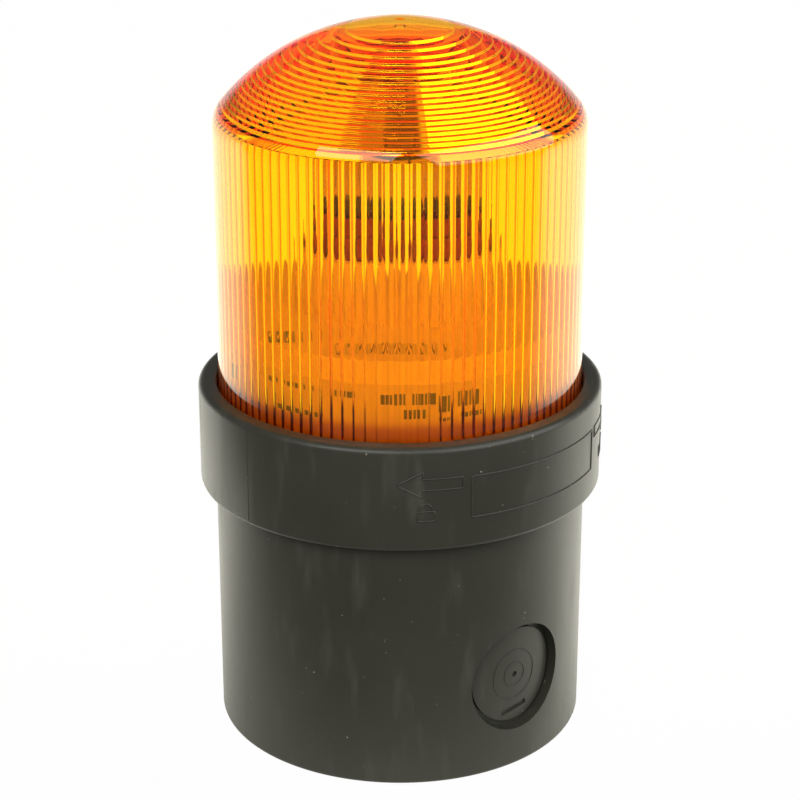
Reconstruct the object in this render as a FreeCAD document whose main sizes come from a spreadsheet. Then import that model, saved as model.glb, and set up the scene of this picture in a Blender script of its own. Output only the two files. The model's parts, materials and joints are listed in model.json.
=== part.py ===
import FreeCAD, Part
import math
import os
import re
import Sketcher

# Signal beacon with a screw-down base, a bayonet locking ring, an amber fluted
# lens and a two-pin bayonet lamp. Millimetres, +Z up, origin at the middle of
# the underside.

doc = FreeCAD.newDocument("signal_beacon")
sheet = doc.addObject("Spreadsheet::Sheet", "sizes")

SIZES = (
    # clearances
    ("running_gap", 0.3, "between pieces that move past each other"),
    ("ring_side_gap", 0.4, "beside the locking ring"),
    ("seat_gap", 0.05, "around a piece that sits fast in its seat"),
    # base
    ("base_radius", 35.0, "outside of the base"),
    ("base_wall", 3.0, "side wall"),
    ("base_floor", 3.0, "floor"),
    ("base_edge_round", 1.0, "bottom edge"),
    ("shoulder_height", 48.0, "where the base steps in to its neck"),
    ("shoulder_step", 1.1, "width of that step"),
    ("shoulder_gap", 0.6, "from the step to the locking ring"),
    ("neck_height", 13.8, "from the step to the seal seat"),
    ("neck_wall", 2.4, "neck wall"),
    ("ledge_drop", 2.0, "from the step down to the carrier's ledge"),
    ("ledge_thickness", 2.5, "ledge under the carrier"),
    ("ledge_width", 3.3, "reach of the ledge inside the neck"),
    ("entry_radius", 10.25, "cable entry in the floor"),
    ("gasket_inset", 3.0, "from the base's outside to the gasket"),
    ("gasket_width", 2.6, "gasket width"),
    ("gasket_depth", 1.6, "gasket thickness"),
    ("fixing_inset", 9.0, "from the base's outside to the fixing holes"),
    ("fixing_hole", 2.25, "fixing hole radius"),
    ("fixing_boss", 4.6, "boss radius around a fixing hole"),
    ("fixing_boss_rise", 2.5, "boss height above the floor"),
    ("fixing_count", 3, "fixing holes"),
    ("fixing_turn", 8.5, "first fixing hole, degrees from the right-hand side"),
    ("knockout_turn", 39.5, "side entry, degrees right of the front"),
    ("knockout_height", 18.2, "side entry centre"),
    ("knockout_radius", 10.5, "side entry"),
    ("knockout_depth", 1.6, "recess of the side entry's disc"),
    ("knockout_groove", 1.2, "groove around the disc"),
    ("knockout_groove_depth", 0.8, "depth of that groove"),
    ("lever_slot_length", 6.0, "pry slot in the disc"),
    ("lever_slot_width", 1.0, "pry slot in the disc"),
    ("lever_slot_drop", 7.0, "pry slot below the disc's middle"),
    ("lever_slot_turn", 9.0, "degrees the pry slot leans"),
    ("lever_slot_depth", 0.5, "pry slot in the disc"),
    ("punch_radius", 0.55, "centre mark of the disc"),
    ("punch_depth", 0.4, "centre mark of the disc"),
    # bayonet between base and locking ring
    ("lug_count", 3, "bayonet lugs"),
    ("lug_reach", 1.8, "base lug beyond the neck"),
    ("base_lug_angle", 30.0, "degrees covered by a base lug"),
    ("base_lug_height", 2.5, "base lug"),
    ("lug_clearance", 0.4, "between the two sets of lugs"),
    ("ring_lug_angle", 24.0, "degrees covered by a ring lug"),
    ("ring_lug_height", 3.2, "ring lug"),
    ("ring_lug_rise", 1.0, "ring lug above the ring's bottom"),
    ("stop_angle", 2.4, "degrees covered by a closing stop"),
    ("stop_gap_angle", 0.6, "degrees between a lug and its stop"),
    # locking ring
    ("ring_bore_gap", 0.5, "from a base lug to the ring"),
    ("ring_wall", 1.7, "ring wall"),
    ("ring_lip", 1.9, "thickness of the ring's top lip"),
    ("ring_top_round", 1.2, "outer top edge"),
    ("ring_lip_round", 0.5, "inner top edge"),
    ("ring_bottom_round", 0.9, "outer bottom edge"),
    # lens
    ("seal_thickness", 2.0, "seal under the lens"),
    ("seal_inset", 0.2, "seal inside the neck's edges"),
    ("lens_overhang", 0.2, "lens wall beyond the neck"),
    ("lens_wall", 2.55, "lens wall in the valleys of the flutes"),
    ("lens_flange", 2.2, "thickness of the foot under the ring's lip"),
    ("lens_wall_height", 52.7, "straight part of the lens"),
    ("dome_radius", 43.3, "ball shape of the dome"),
    ("dome_round", 6.5, "shoulder between wall and dome"),
    ("dome_thickness", 2.6, "dome"),
    ("flute_count", 100, "upright flutes inside the lens"),
    ("flute_depth", 0.45, "crest above valley"),
    ("flute_turn", 2.7, "first crest, degrees from the right-hand side"),
    ("flute_overrun", 0.9, "flutes above the start of the shoulder"),
    ("dome_rim", 0.7, "ledge at the top of the flutes"),
    ("dome_ring_count", 20, "ring prisms inside the dome"),
    ("dome_eye_radius", 3.2, "plain middle of the dome"),
    # lamp carrier
    ("carrier_gap", 0.8, "from the flutes to the carrier"),
    ("carrier_height", 35.0, "carrier above its ledge"),
    ("carrier_wall", 1.8, "carrier wall"),
    ("carrier_plate", 2.0, "carrier top"),
    ("carrier_bevel_drop", 3.4, "sloped rim of the carrier's top"),
    ("carrier_bevel_width", 2.4, "sloped rim of the carrier's top"),
    ("boss_height", 11.8, "socket boss above the carrier's top"),
    ("boss_wall", 1.6, "socket boss"),
    ("hook_count", 3, "snap hooks under the carrier"),
    ("hook_angle", 10.0, "degrees covered by a hook"),
    ("hook_length", 5.4, "hook below the carrier"),
    ("hook_thickness", 1.4, "hook"),
    ("hook_nose", 0.9, "nose of a hook"),
    ("hook_slot_gap", 0.4, "around a hook in the ledge"),
    ("hook_slot_play", 3.0, "degrees a hook's slot is wider than the hook"),
    # lamp holder
    ("cap_radius", 7.5, "two-pin bayonet cap"),
    ("shell_wall", 0.6, "holder shell"),
    ("shell_boss_gap", 0.6, "from shell to boss, room for the pin ends"),
    ("shell_rise", 4.0, "shell above the boss"),
    ("shell_flange", 1.2, "thickness and reach of the shell's foot"),
    ("twist_angle", 40.0, "turn that frees the lamp"),
    ("push_travel", 1.5, "lamp pressed down"),
    ("contact_offset", 3.6, "contact from the middle"),
    ("insulator_radius", 9.8, "contact block"),
    ("insulator_height", 11.8, "contact block below the shell"),
    ("insulator_neck", 2.7, "contact block inside the shell"),
    ("ear_reach", 13.2, "screw ear from the middle"),
    ("ear_round", 2.6, "screw ear"),
    ("ear_thickness", 2.5, "screw ear"),
    ("ear_drop", 5.0, "screw ear below the carrier's top plate"),
    ("ear_screw", 1.1, "screw radius"),
    ("ear_screw_head", 2.1, "screw head radius"),
    ("ear_screw_length", 6.0, "screw under its head"),
    ("screw_head_height", 1.6, "screw heads"),
    ("plunger_radius", 1.3, "contact pin"),
    ("plunger_collar", 1.65, "contact pin collar"),
    ("plunger_collar_height", 1.5, "contact pin collar"),
    ("plunger_bore_gap", 0.35, "around a contact pin"),
    ("plunger_stop", 1.5, "roof over the contact pin's bore"),
    ("plunger_tip_gap", 0.2, "from contact pin to lamp"),
    ("spring_wire", 0.45, "contact spring wire diameter"),
    ("strip_thickness", 0.6, "contact strip"),
    ("strip_width", 3.4, "contact strip"),
    # lamp
    ("lamp_lift", 3.0, "lamp foot above the carrier's top"),
    ("cap_length", 16.2, "lamp cap"),
    ("cap_wall", 0.5, "lamp cap"),
    ("pin_radius", 1.0, "bayonet pin"),
    ("pin_reach", 1.1, "bayonet pin beyond the cap"),
    ("pin_height", 6.3, "bayonet pin above the lamp's foot"),
    ("cap_disc", 2.5, "insulating foot of the lamp"),
    ("pad_radius", 1.9, "solder contact"),
    ("pad_height", 0.8, "solder contact"),
    ("bulb_radius", 8.0, "glass bulb"),
    ("bulb_wall", 0.6, "glass bulb"),
    ("bulb_neck_depth", 5.3, "bulb inside the cap"),
    ("bulb_flare", 1.6, "bulb from neck to full width"),
    ("bulb_height", 15.7, "bulb above the cap"),
    ("stem_foot", 0.8, "flared foot of the stem"),
    ("stem_radius", 2.6, "stem"),
    ("stem_height", 7.0, "stem"),
    ("lead_radius", 0.25, "lamp lead"),
    ("lead_root", 1.2, "lead in the stem, from the middle"),
    ("lead_height", 6.7, "lead above the stem"),
    ("filament_radius", 0.4, "coiled filament"),
    ("filament_length", 6.4, "coiled filament"),
    # terminals
    ("terminal_width", 23.0, "terminal block"),
    ("terminal_gap", 2.2, "from the contact block to the terminal block"),
    ("terminal_inset", 5.6, "from the carrier's wall to the terminal block"),
    ("terminal_offset", 6.5, "terminal from the middle"),
    ("terminal_divider", 1.2, "wall between the terminals"),
    ("terminal_divider_drop", 3.4, "wall between the terminals, below the block"),
    ("terminal_screw", 1.2, "terminal screw radius"),
    ("terminal_head", 2.8, "terminal screw head radius"),
    ("terminal_screw_length", 7.4, "terminal screw under its head"),
    ("insert_radius", 2.6, "threaded insert"),
    ("insert_height", 8.0, "threaded insert"),
    ("clamp_size", 6.4, "wire clamp plate"),
    ("clamp_thickness", 0.8, "wire clamp plate"),
)
NAMES = {alias for alias, _, _ in SIZES}
for row, (alias, number, note) in enumerate(SIZES, start=1):
    sheet.set(f"A{row}", note)
    sheet.set(f"B{row}", str(number))
    sheet.setAlias(f"B{row}", alias)
doc.recompute()

# Heights and radii that several pieces share, each a formula of the sizes above.
NECK = "(base_radius - shoulder_step)"
NECK_BORE = f"({NECK} - neck_wall)"
BASE_BORE = "(base_radius - base_wall)"
GASKET = "(base_radius - gasket_inset)"
GASKET_BORE = f"({GASKET} - gasket_width)"
FIXING_CIRCLE = "(base_radius - fixing_inset)"
LEDGE_TOP = "(shoulder_height - ledge_drop)"
LEDGE_BORE = f"({NECK_BORE} - ledge_width)"
RING_BOTTOM = "(shoulder_height + shoulder_gap)"
RING_LUG_FLOOR = f"({RING_BOTTOM} + ring_lug_rise)"
RING_LUG_TOP = f"({RING_LUG_FLOOR} + ring_lug_height)"
BASE_LUG_FLOOR = f"({RING_LUG_TOP} + lug_clearance)"
BASE_LUG = f"({NECK} + lug_reach)"
RING_BORE = f"({BASE_LUG} + ring_bore_gap)"
RING_RADIUS = f"({RING_BORE} + ring_wall)"
NECK_TOP = "(shoulder_height + neck_height)"
LENS_FOOT = f"({NECK_TOP} + seal_thickness)"
FLANGE_TOP = f"({LENS_FOOT} + lens_flange)"
LIP_FLOOR = f"({FLANGE_TOP} + running_gap)"
RING_TOP = f"({LIP_FLOOR} + ring_lip)"
LENS = f"({NECK} + lens_overhang)"
LIP_RADIUS = f"({LENS} + ring_side_gap)"
VALLEY = f"({LENS} - lens_wall)"
CREST = f"({VALLEY} - flute_depth)"
WALL_TOP = f"({LENS_FOOT} + lens_wall_height)"
FLUTE_TOP = f"({WALL_TOP} + flute_overrun)"
CARRIER = f"({CREST} - carrier_gap)"
CARRIER_BORE = f"({CARRIER} - carrier_wall)"
CARRIER_TOP = f"({LEDGE_TOP} + carrier_height)"
PLATE_FLOOR = f"({CARRIER_TOP} - carrier_plate)"
SHELL_BORE = "(cap_radius + running_gap)"
SHELL = f"({SHELL_BORE} + shell_wall)"
BOSS_BORE = f"({SHELL} + shell_boss_gap)"
BOSS = f"({BOSS_BORE} + boss_wall)"
BOSS_TOP = f"({CARRIER_TOP} + boss_height)"
SHELL_TOP = f"({BOSS_TOP} + shell_rise)"
SHELL_FLOOR = f"({PLATE_FLOOR} - shell_flange)"
INSULATOR_FLOOR = f"({SHELL_FLOOR} - insulator_height)"
INSULATOR_TOP = f"({SHELL_FLOOR} + insulator_neck)"
PLUNGER_ROOF = f"({INSULATOR_TOP} - plunger_stop)"
EAR_TOP = f"({PLATE_FLOOR} - ear_drop)"
LAMP_FOOT = f"({CARRIER_TOP} + lamp_lift)"
PAD_FLOOR = f"({LAMP_FOOT} - pad_height)"
CAP_TOP = f"({LAMP_FOOT} + cap_length)"
PIN_AXIS = f"({LAMP_FOOT} + pin_height)"
STRIP_FLOOR = f"({INSULATOR_FLOOR} - strip_thickness)"
CLAMP_FLOOR = f"({STRIP_FLOOR} - clamp_thickness)"
TERMINAL_FRONT = "(insulator_radius + terminal_gap)"
TERMINAL_BACK = f"({CARRIER_BORE} - terminal_inset)"
TERMINAL_AXIS = f"(({TERMINAL_FRONT} + {TERMINAL_BACK}) / 2)"
BULB_FOOT = f"({CAP_TOP} - bulb_neck_depth)"
STEM_TOP = f"({BULB_FOOT} + stem_height)"
FILAMENT_AXIS = f"({STEM_TOP} + lead_height)"
PLUNGER_TIP = f"({PAD_FLOOR} - plunger_tip_gap)"
COLLAR_TOP = f"({PLUNGER_ROOF} - running_gap)"
COLLAR_FLOOR = f"({COLLAR_TOP} - plunger_collar_height)"
MIDDLE = ("0", "0")


def bound(text):
    """The same formula with its names pointing at the sheet."""
    def link(match):
        word = match.group()
        return "sizes." + word if word in NAMES else word
    return re.sub(r"[a-z_]+", link, str(text))


def value(text):
    """What a formula comes to."""
    return float(sheet.evalExpression(bound(text)))


def origin_feature(body, role):
    return next(item for item in body.Origin.OriginFeatures if item.Role == role)


def new_body(label):
    body = doc.addObject("PartDesign::Body", label)
    body.Label = label
    return body


def new_sketch(body, name, plane="XZ_Plane", place=None):
    """A sketch on a plane of its body; place gives formulas for its offset."""
    sketch = body.newObject("Sketcher::SketchObject", name)
    sketch.AttachmentSupport = [(origin_feature(body, plane), "")]
    sketch.MapMode = "FlatFace"
    for target, text in (place or {}).items():
        if target.startswith("Turn"):
            axis = FreeCAD.Vector(*(float(mark == target[-1]) for mark in "XYZ"))
            turned = FreeCAD.Rotation(axis, value(text))
            sketch.AttachmentOffset = FreeCAD.Placement(sketch.AttachmentOffset.Base, turned)
            sketch.setExpression("AttachmentOffset.Rotation.Angle", bound(text))
        else:
            sketch.setExpression("AttachmentOffset.Base." + target, bound(text))
    return sketch


def pin_down(sketch, geometry, point, corner):
    """Tie a point of the sketch to a pair of formulas."""
    for kind, text in zip(("DistanceX", "DistanceY"), corner):
        rule = Sketcher.Constraint(kind, -1, 1, geometry, point, value(text))
        sketch.setExpression(f"Constraints[{sketch.addConstraint(rule)}]", bound(text))


def outline(body, name, corners, plane="XZ_Plane", place=None):
    """A closed outline of straight lines through pairs of formulas."""
    sketch = new_sketch(body, name, plane, place)
    points = [FreeCAD.Vector(value(across), value(up), 0) for across, up in corners]
    count = len(points)
    for index in range(count):
        sketch.addGeometry(Part.LineSegment(points[index], points[(index + 1) % count]), False)
    for index in range(count):
        follower = (index + 1) % count
        sketch.addConstraint(Sketcher.Constraint("Coincident", index, 2, follower, 1))
        pin_down(sketch, index, 1, corners[index])
    return sketch


def circles(body, name, centre, radii, plane="XY_Plane", place=None):
    """Circles about one centre, all given by formulas."""
    sketch = new_sketch(body, name, plane, place)
    middle = FreeCAD.Vector(value(centre[0]), value(centre[1]), 0)
    for index, radius in enumerate(radii):
        size = value(radius)
        sketch.addGeometry(Part.Circle(middle, FreeCAD.Vector(0, 0, 1), size), False)
        pin_down(sketch, index, 3, centre)
        rule = sketch.addConstraint(Sketcher.Constraint("Radius", index, size))
        sketch.setExpression(f"Constraints[{rule}]", bound(radius))
    return sketch


def turned(body, name, corners, angle="360", place=None, cut=False):
    """A profile turned about the upright axis, evenly to both sides of its plane."""
    kind = "PartDesign::Groove" if cut else "PartDesign::Revolution"
    sketch = outline(body, name + "_profile", corners, place=place)
    feature = body.newObject(kind, name)
    feature.Profile = sketch
    feature.ReferenceAxis = (sketch, ["V_Axis"])
    feature.Midplane = angle != "360"
    feature.setExpression("Angle", bound(angle))
    return feature


def raised(body, name, sketch, length, cut=False, back=False):
    """A sketch padded, or cut with a pocket, by a length."""
    feature = body.newObject("PartDesign::Pocket" if cut else "PartDesign::Pad", name)
    feature.Profile = sketch
    feature.Reversed = back
    feature.setExpression("Length", bound(length))
    return feature


def around(body, name, features, count):
    """Copies of features spaced evenly around the upright axis."""
    pattern = body.newObject("PartDesign::PolarPattern", name)
    pattern.Originals = features
    pattern.Axis = (origin_feature(body, "Z_Axis"), [""])
    pattern.Angle = 360
    pattern.setExpression("Occurrences", bound(count))
    body.Tip = pattern
    return pattern


def soften(body, base, name, radius, circle_radius, height):
    """Round the full circle edge that has the given radius and height."""
    doc.recompute()
    wanted = (value(circle_radius), value(height))
    edges = []
    for number, edge in enumerate(base.Shape.Edges, start=1):
        if not isinstance(edge.Curve, Part.Circle):
            continue
        found = (edge.Curve.Radius, edge.Curve.Center.z)
        if math.dist(found, wanted) < value("seat_gap") / 10:
            edges.append(f"Edge{number}")
    fillet = body.newObject("PartDesign::Fillet", name)
    fillet.Base = (base, edges)
    fillet.setExpression("Radius", bound(radius))
    return fillet


def rod(name, radius, height, place):
    """A plain upright cylinder; place gives formulas for its foot."""
    cylinder = doc.addObject("Part::Cylinder", name)
    cylinder.setExpression("Radius", bound(radius))
    cylinder.setExpression("Height", bound(height))
    for target, text in zip("xyz", place):
        cylinder.setExpression("Placement.Base." + target, bound(text))
    return cylinder


def block(name, size, place):
    """A plain box; size and place are formulas, place for its low corner."""
    box = doc.addObject("Part::Box", name)
    for target, text in zip(("Length", "Width", "Height"), size):
        box.setExpression(target, bound(text))
    for target, text in zip("xyz", place):
        box.setExpression("Placement.Base." + target, bound(text))
    return box


def joined(label, kind, items):
    """A boolean or a group of earlier objects, under its own label."""
    group = doc.addObject(kind, label)
    group.Label = label
    if kind == "Part::Cut":
        group.Base, group.Tool = items
    elif kind == "Part::Compound":
        group.Links = items
    else:
        group.Shapes = items
    return group


def spun(name, edges):
    """A profile of curves in the XZ plane turned fully about the upright axis."""
    profile = doc.addObject("Part::Feature", name + "_profile")
    profile.Shape = Part.Face(Part.Wire(edges))
    revolution = doc.addObject("Part::Revolution", name)
    revolution.Source = profile
    revolution.Axis = FreeCAD.Vector(0, 0, 1)
    revolution.Angle = 360
    revolution.Solid = True
    return revolution


def flat(across, up):
    return FreeCAD.Vector(across, 0, up)


def chain(points):
    return [Part.LineSegment(a, b).toShape() for a, b in zip(points, points[1:])]


def base_housing():
    """Cup with a neck for the ring, a ledge for the carrier and a side knock-out."""
    body = new_body("base_cup")
    cup = turned(body, "cup", (
        ("entry_radius", "0"), (GASKET_BORE, "0"), (GASKET_BORE, "gasket_depth"),
        (GASKET, "gasket_depth"), (GASKET, "0"), ("base_radius", "0"),
        ("base_radius", "shoulder_height"), (NECK, "shoulder_height"), (NECK, NECK_TOP),
        (NECK_BORE, NECK_TOP), (NECK_BORE, LEDGE_TOP), (LEDGE_BORE, LEDGE_TOP),
        (LEDGE_BORE, f"{LEDGE_TOP} - ledge_thickness"), (BASE_BORE, f"{LEDGE_TOP} - ledge_thickness"),
        (BASE_BORE, "base_floor"), ("entry_radius", "base_floor"),
    ))
    soften(body, cup, "bottom_edge", "base_edge_round", "base_radius", "0")

    lug_root = f"{NECK} - neck_wall / 2"
    lug_top = f"{BASE_LUG_FLOOR} + base_lug_height"
    lug = turned(body, "base_lug", (
        (lug_root, BASE_LUG_FLOOR), (BASE_LUG, BASE_LUG_FLOOR), (BASE_LUG, lug_top), (lug_root, lug_top),
    ), angle="base_lug_angle")
    stop = turned(body, "closing_stop", (
        (lug_root, "shoulder_height"), (BASE_LUG, "shoulder_height"), (BASE_LUG, lug_top),
        (lug_root, lug_top),
    ), angle="stop_angle", place={"TurnY": "-(ring_lug_angle / 2 + stop_gap_angle + stop_angle / 2)"})
    around(body, "base_lugs", [lug, stop], "lug_count")

    hook_face = f"({CARRIER} - hook_slot_gap / 2)"
    slot = turned(body, "hook_slot", (
        (f"{LEDGE_BORE} - ledge_width", f"{LEDGE_TOP} - 2 * ledge_thickness"),
        (f"{hook_face} + hook_slot_gap", f"{LEDGE_TOP} - 2 * ledge_thickness"),
        (f"{hook_face} + hook_slot_gap", f"{LEDGE_TOP} + ledge_thickness"),
        (f"{LEDGE_BORE} - ledge_width", f"{LEDGE_TOP} + ledge_thickness"),
    ), angle="hook_angle + hook_slot_play", cut=True)
    around(body, "hook_slots", [slot], "hook_count")

    on_circle = (FIXING_CIRCLE, "0")
    fixing_place = {"TurnZ": "fixing_turn"}
    boss_root = "((gasket_depth + base_floor) / 2)"
    boss = raised(body, "fixing_boss_pad", circles(body, "boss_outline", on_circle, ["fixing_boss"],
                                                   place={**fixing_place, "z": boss_root}),
                  f"base_floor + fixing_boss_rise - {boss_root}")
    hole = raised(body, "fixing_hole_cut", circles(body, "hole_outline", on_circle, ["fixing_hole"],
                                                   place=fixing_place), "2 * (base_floor + fixing_boss_rise)",
                  cut=True, back=True)
    around(body, "fixings", [boss, hole], "fixing_count")

    return joined("base_housing", "Part::Cut", (body, entry_cutter()))


def entry_cutter():
    """What the side knock-out takes away: its disc is sunk evenly below the round wall."""
    disc_face = "(base_radius - knockout_depth)"
    reach = "knockout_radius + base_wall"
    rim = "knockout_radius - knockout_groove"
    cutters = []
    for name, radii, floor in (
        ("entry_recess", ["knockout_radius"], disc_face),
        ("entry_groove", ["knockout_radius", rim], f"{disc_face} - knockout_groove_depth"),
    ):
        body = new_body(name)
        raised(body, f"{name}_plug", circles(body, f"{name}_outline", MIDDLE, radii, "XZ_Plane",
                                             entry_facing(f"{BASE_BORE} - base_wall")), "3 * base_wall")
        turned(body, f"{name}_floor", (
            ("0", f"knockout_height - ({reach})"), (floor, f"knockout_height - ({reach})"),
            (floor, f"knockout_height + {reach}"), ("0", f"knockout_height + {reach}"),
        ), cut=True)
        cutters.append(body)

    marks = new_body("entry_marks")
    raised(marks, "punch", circles(marks, "punch_outline", MIDDLE, ["punch_radius"], "XZ_Plane",
                                   entry_facing(f"{disc_face} - punch_depth")), "base_wall")
    cutters.append(marks)

    def slot_corner(along, across):
        return (f"{along} * cos(lever_slot_turn * 1deg) - ({across}) * sin(lever_slot_turn * 1deg)",
                f"{along} * sin(lever_slot_turn * 1deg) + ({across}) * cos(lever_slot_turn * 1deg)"
                " - lever_slot_drop")

    half_long, half_wide = "lever_slot_length / 2", "lever_slot_width / 2"
    slot = new_body("lever_slot")
    raised(slot, "lever_slot_plug", outline(slot, "lever_slot_outline", (
        slot_corner(f"-{half_long}", f"-{half_wide}"), slot_corner(half_long, f"-{half_wide}"),
        slot_corner(half_long, half_wide), slot_corner(f"-{half_long}", half_wide),
    ), "XZ_Plane", entry_facing(f"{disc_face} - lever_slot_depth")), "base_wall")
    cutters.append(slot)
    return joined("entry_cutter", "Part::MultiFuse", cutters)


def entry_facing(depth):
    """Place of a sketch that faces the side entry, at a distance from the upright axis."""
    return {
        "TurnY": "knockout_turn",
        "x": f"({depth}) * sin(knockout_turn * 1deg)",
        "y": "knockout_height",
        "z": f"({depth}) * cos(knockout_turn * 1deg)",
    }


def base_gasket():
    """Flat gasket that lies flush in the underside's groove."""
    body = new_body("base_gasket")
    inside, outside = f"{GASKET_BORE} + seat_gap", f"{GASKET} - seat_gap"
    turned(body, "gasket_ring", ((inside, "0"), (outside, "0"), (outside, "gasket_depth"),
                                 (inside, "gasket_depth")))
    return body


def locking_ring():
    """Collar that presses the lens foot down and locks under the base lugs."""
    body = new_body("locking_ring")
    collar = turned(body, "collar", (
        (RING_BORE, RING_BOTTOM), (RING_RADIUS, RING_BOTTOM), (RING_RADIUS, RING_TOP),
        (LIP_RADIUS, RING_TOP), (LIP_RADIUS, LIP_FLOOR), (RING_BORE, LIP_FLOOR),
    ))
    top = soften(body, collar, "top_edge", "ring_top_round", RING_RADIUS, RING_TOP)
    lip = soften(body, top, "lip_edge", "ring_lip_round", LIP_RADIUS, RING_TOP)
    soften(body, lip, "low_edge", "ring_bottom_round", RING_RADIUS, RING_BOTTOM)
    lug_bore = f"{NECK} + ring_side_gap"
    lug_root = f"{RING_BORE} + ring_wall / 2"
    lug = turned(body, "ring_lug", (
        (lug_bore, RING_LUG_FLOOR), (lug_root, RING_LUG_FLOOR), (lug_root, RING_LUG_TOP),
        (lug_bore, RING_LUG_TOP),
    ), angle="ring_lug_angle")
    around(body, "ring_lugs", [lug], "lug_count")
    return body


def lens_seal():
    """Rubber ring between the neck and the lens."""
    body = new_body("lens_seal")
    inside, outside = f"{NECK_BORE} + seal_inset", f"{NECK} - seal_inset"
    turned(body, "seal_ring", ((inside, NECK_TOP), (outside, NECK_TOP), (outside, LENS_FOOT),
                               (inside, LENS_FOOT)))
    return body


def lens():
    """Dome on a straight wall, with ring prisms above and upright flutes below."""
    radius, foot, wall_top = value(LENS), value(LENS_FOOT), value(WALL_TOP)
    ball, round_off = value("dome_radius"), value("dome_round")
    flange = value(f"{RING_BORE} - ring_side_gap")
    flange_top, flute_top = value(FLANGE_TOP), value(FLUTE_TOP)
    bore = value(f"{CREST} - dome_rim")

    # The shoulder's arc lies inside the ball and meets it where their normals agree.
    reach = radius - round_off
    ball_centre = wall_top - math.sqrt((ball - round_off) ** 2 - reach ** 2)
    lean = math.asin(reach / (ball - round_off))
    shoulder_end = flat(ball * math.sin(lean), ball_centre + ball * math.cos(lean))
    shoulder_mid_turn = (math.pi / 2 + lean) / 2
    shoulder_mid = flat(reach + round_off * math.sin(shoulder_mid_turn),
                        wall_top + round_off * math.cos(shoulder_mid_turn))
    dome_mid = flat(ball * math.sin(lean / 2), ball_centre + ball * math.cos(lean / 2))
    apex = flat(0, ball_centre + ball)

    inner_ball = ball - value("dome_thickness")
    rings = int(value("dome_ring_count"))
    eye = value("dome_eye_radius")
    eye_turn, rim_turn = math.asin(eye / inner_ball), math.asin(bore / inner_ball)
    pitch = (rim_turn - eye_turn) / rings

    def under_dome(turn):
        return flat(inner_ball * math.sin(turn), ball_centre + inner_ball * math.cos(turn))

    # Each ring prism is a step: an upright face from the ring above, then a level one.
    prisms = [under_dome(0), under_dome(eye_turn)]
    for ring in range(rings):
        outside = under_dome(eye_turn + (ring + 1) * pitch)
        prisms += [flat(prisms[-1].x, outside.z), outside]
    prisms += [flat(bore, flute_top), flat(bore, foot)]

    edges = chain([prisms[-1], flat(flange, foot), flat(flange, flange_top), flat(radius, flange_top),
                   flat(radius, wall_top)])
    edges.append(Part.Arc(flat(radius, wall_top), shoulder_mid, shoulder_end).toShape())
    edges.append(Part.Arc(shoulder_end, dome_mid, apex).toShape())
    edges += chain([apex] + prisms)
    shell = spun("lens_shell", edges)

    count = int(value("flute_count"))
    crest, valley = value(CREST), value(VALLEY)
    first_crest = math.radians(value("flute_turn"))

    def around_axis(step, size):
        turn = first_crest + 2 * math.pi * step / count
        return FreeCAD.Vector(size * math.cos(turn), size * math.sin(turn), 0)

    # Hollow flutes: each is an arc that bulges outwards between two crests.
    flutes = [Part.Arc(around_axis(step, crest), around_axis(step + 0.5, valley),
                       around_axis(step + 1, crest)).toShape() for step in range(count)]
    hollow_outline = doc.addObject("Part::Feature", "flute_outline")
    hollow_outline.Shape = Part.Face(Part.Wire(flutes))
    hollow_outline.setExpression("Placement.Base.z", bound(f"{LENS_FOOT} - lens_flange"))
    hollow = doc.addObject("Part::Extrusion", "flute_hollow")
    hollow.Base = hollow_outline
    hollow.DirMode = "Custom"
    hollow.Dir = FreeCAD.Vector(0, 0, 1)
    hollow.Solid = True
    hollow.setExpression("LengthFwd", bound(f"{FLUTE_TOP} - {LENS_FOOT} + lens_flange"))
    return joined("lens", "Part::Cut", (shell, hollow))


def lamp_carrier():
    """White drum with a bevelled top, the socket boss, screw posts and snap hooks."""
    body = new_body("lamp_carrier")
    rim = f"({CARRIER_TOP} - carrier_bevel_drop)"
    turned(body, "drum", (
        (CARRIER_BORE, LEDGE_TOP), (CARRIER, LEDGE_TOP), (CARRIER, rim),
        (f"{CARRIER} - carrier_bevel_width", CARRIER_TOP), (BOSS, CARRIER_TOP), (BOSS, BOSS_TOP),
        (BOSS_BORE, BOSS_TOP), (BOSS_BORE, PLATE_FLOOR),
        (f"{CARRIER_BORE} - carrier_bevel_width", PLATE_FLOOR), (CARRIER_BORE, f"{rim} - carrier_plate"),
    ))
    hook_back = f"{CARRIER} - hook_slot_gap - hook_thickness / 2"
    hook_front = f"{CARRIER} - hook_slot_gap / 2"
    nose = f"{hook_front} + hook_nose"
    nose_top = f"({LEDGE_TOP} - ledge_thickness - running_gap)"
    hook_end = f"({LEDGE_TOP} - hook_length)"
    hook = turned(body, "hook", (
        (hook_back, f"{LEDGE_TOP} + carrier_wall"), (hook_back, hook_end), (hook_front, hook_end),
        (nose, f"{nose_top} - hook_nose"), (nose, nose_top), (hook_front, nose_top),
        (hook_front, f"{LEDGE_TOP} + carrier_wall"),
    ), angle="hook_angle")
    around(body, "hooks", [hook], "hook_count")

    post_place = {"z": EAR_TOP}
    post = raised(body, "screw_post", circles(body, "post_outline", ("ear_reach", "0"), ["ear_round"],
                                              place=post_place), "ear_drop + carrier_plate / 2")
    pilot = raised(body, "screw_pilot", circles(body, "pilot_outline", ("ear_reach", "0"),
                                                ["ear_screw + seat_gap"], place=post_place),
                   "ear_screw_length - ear_thickness + 2 * seat_gap", cut=True, back=True)
    around(body, "screw_posts", [post, pilot], "2")
    return body


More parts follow.
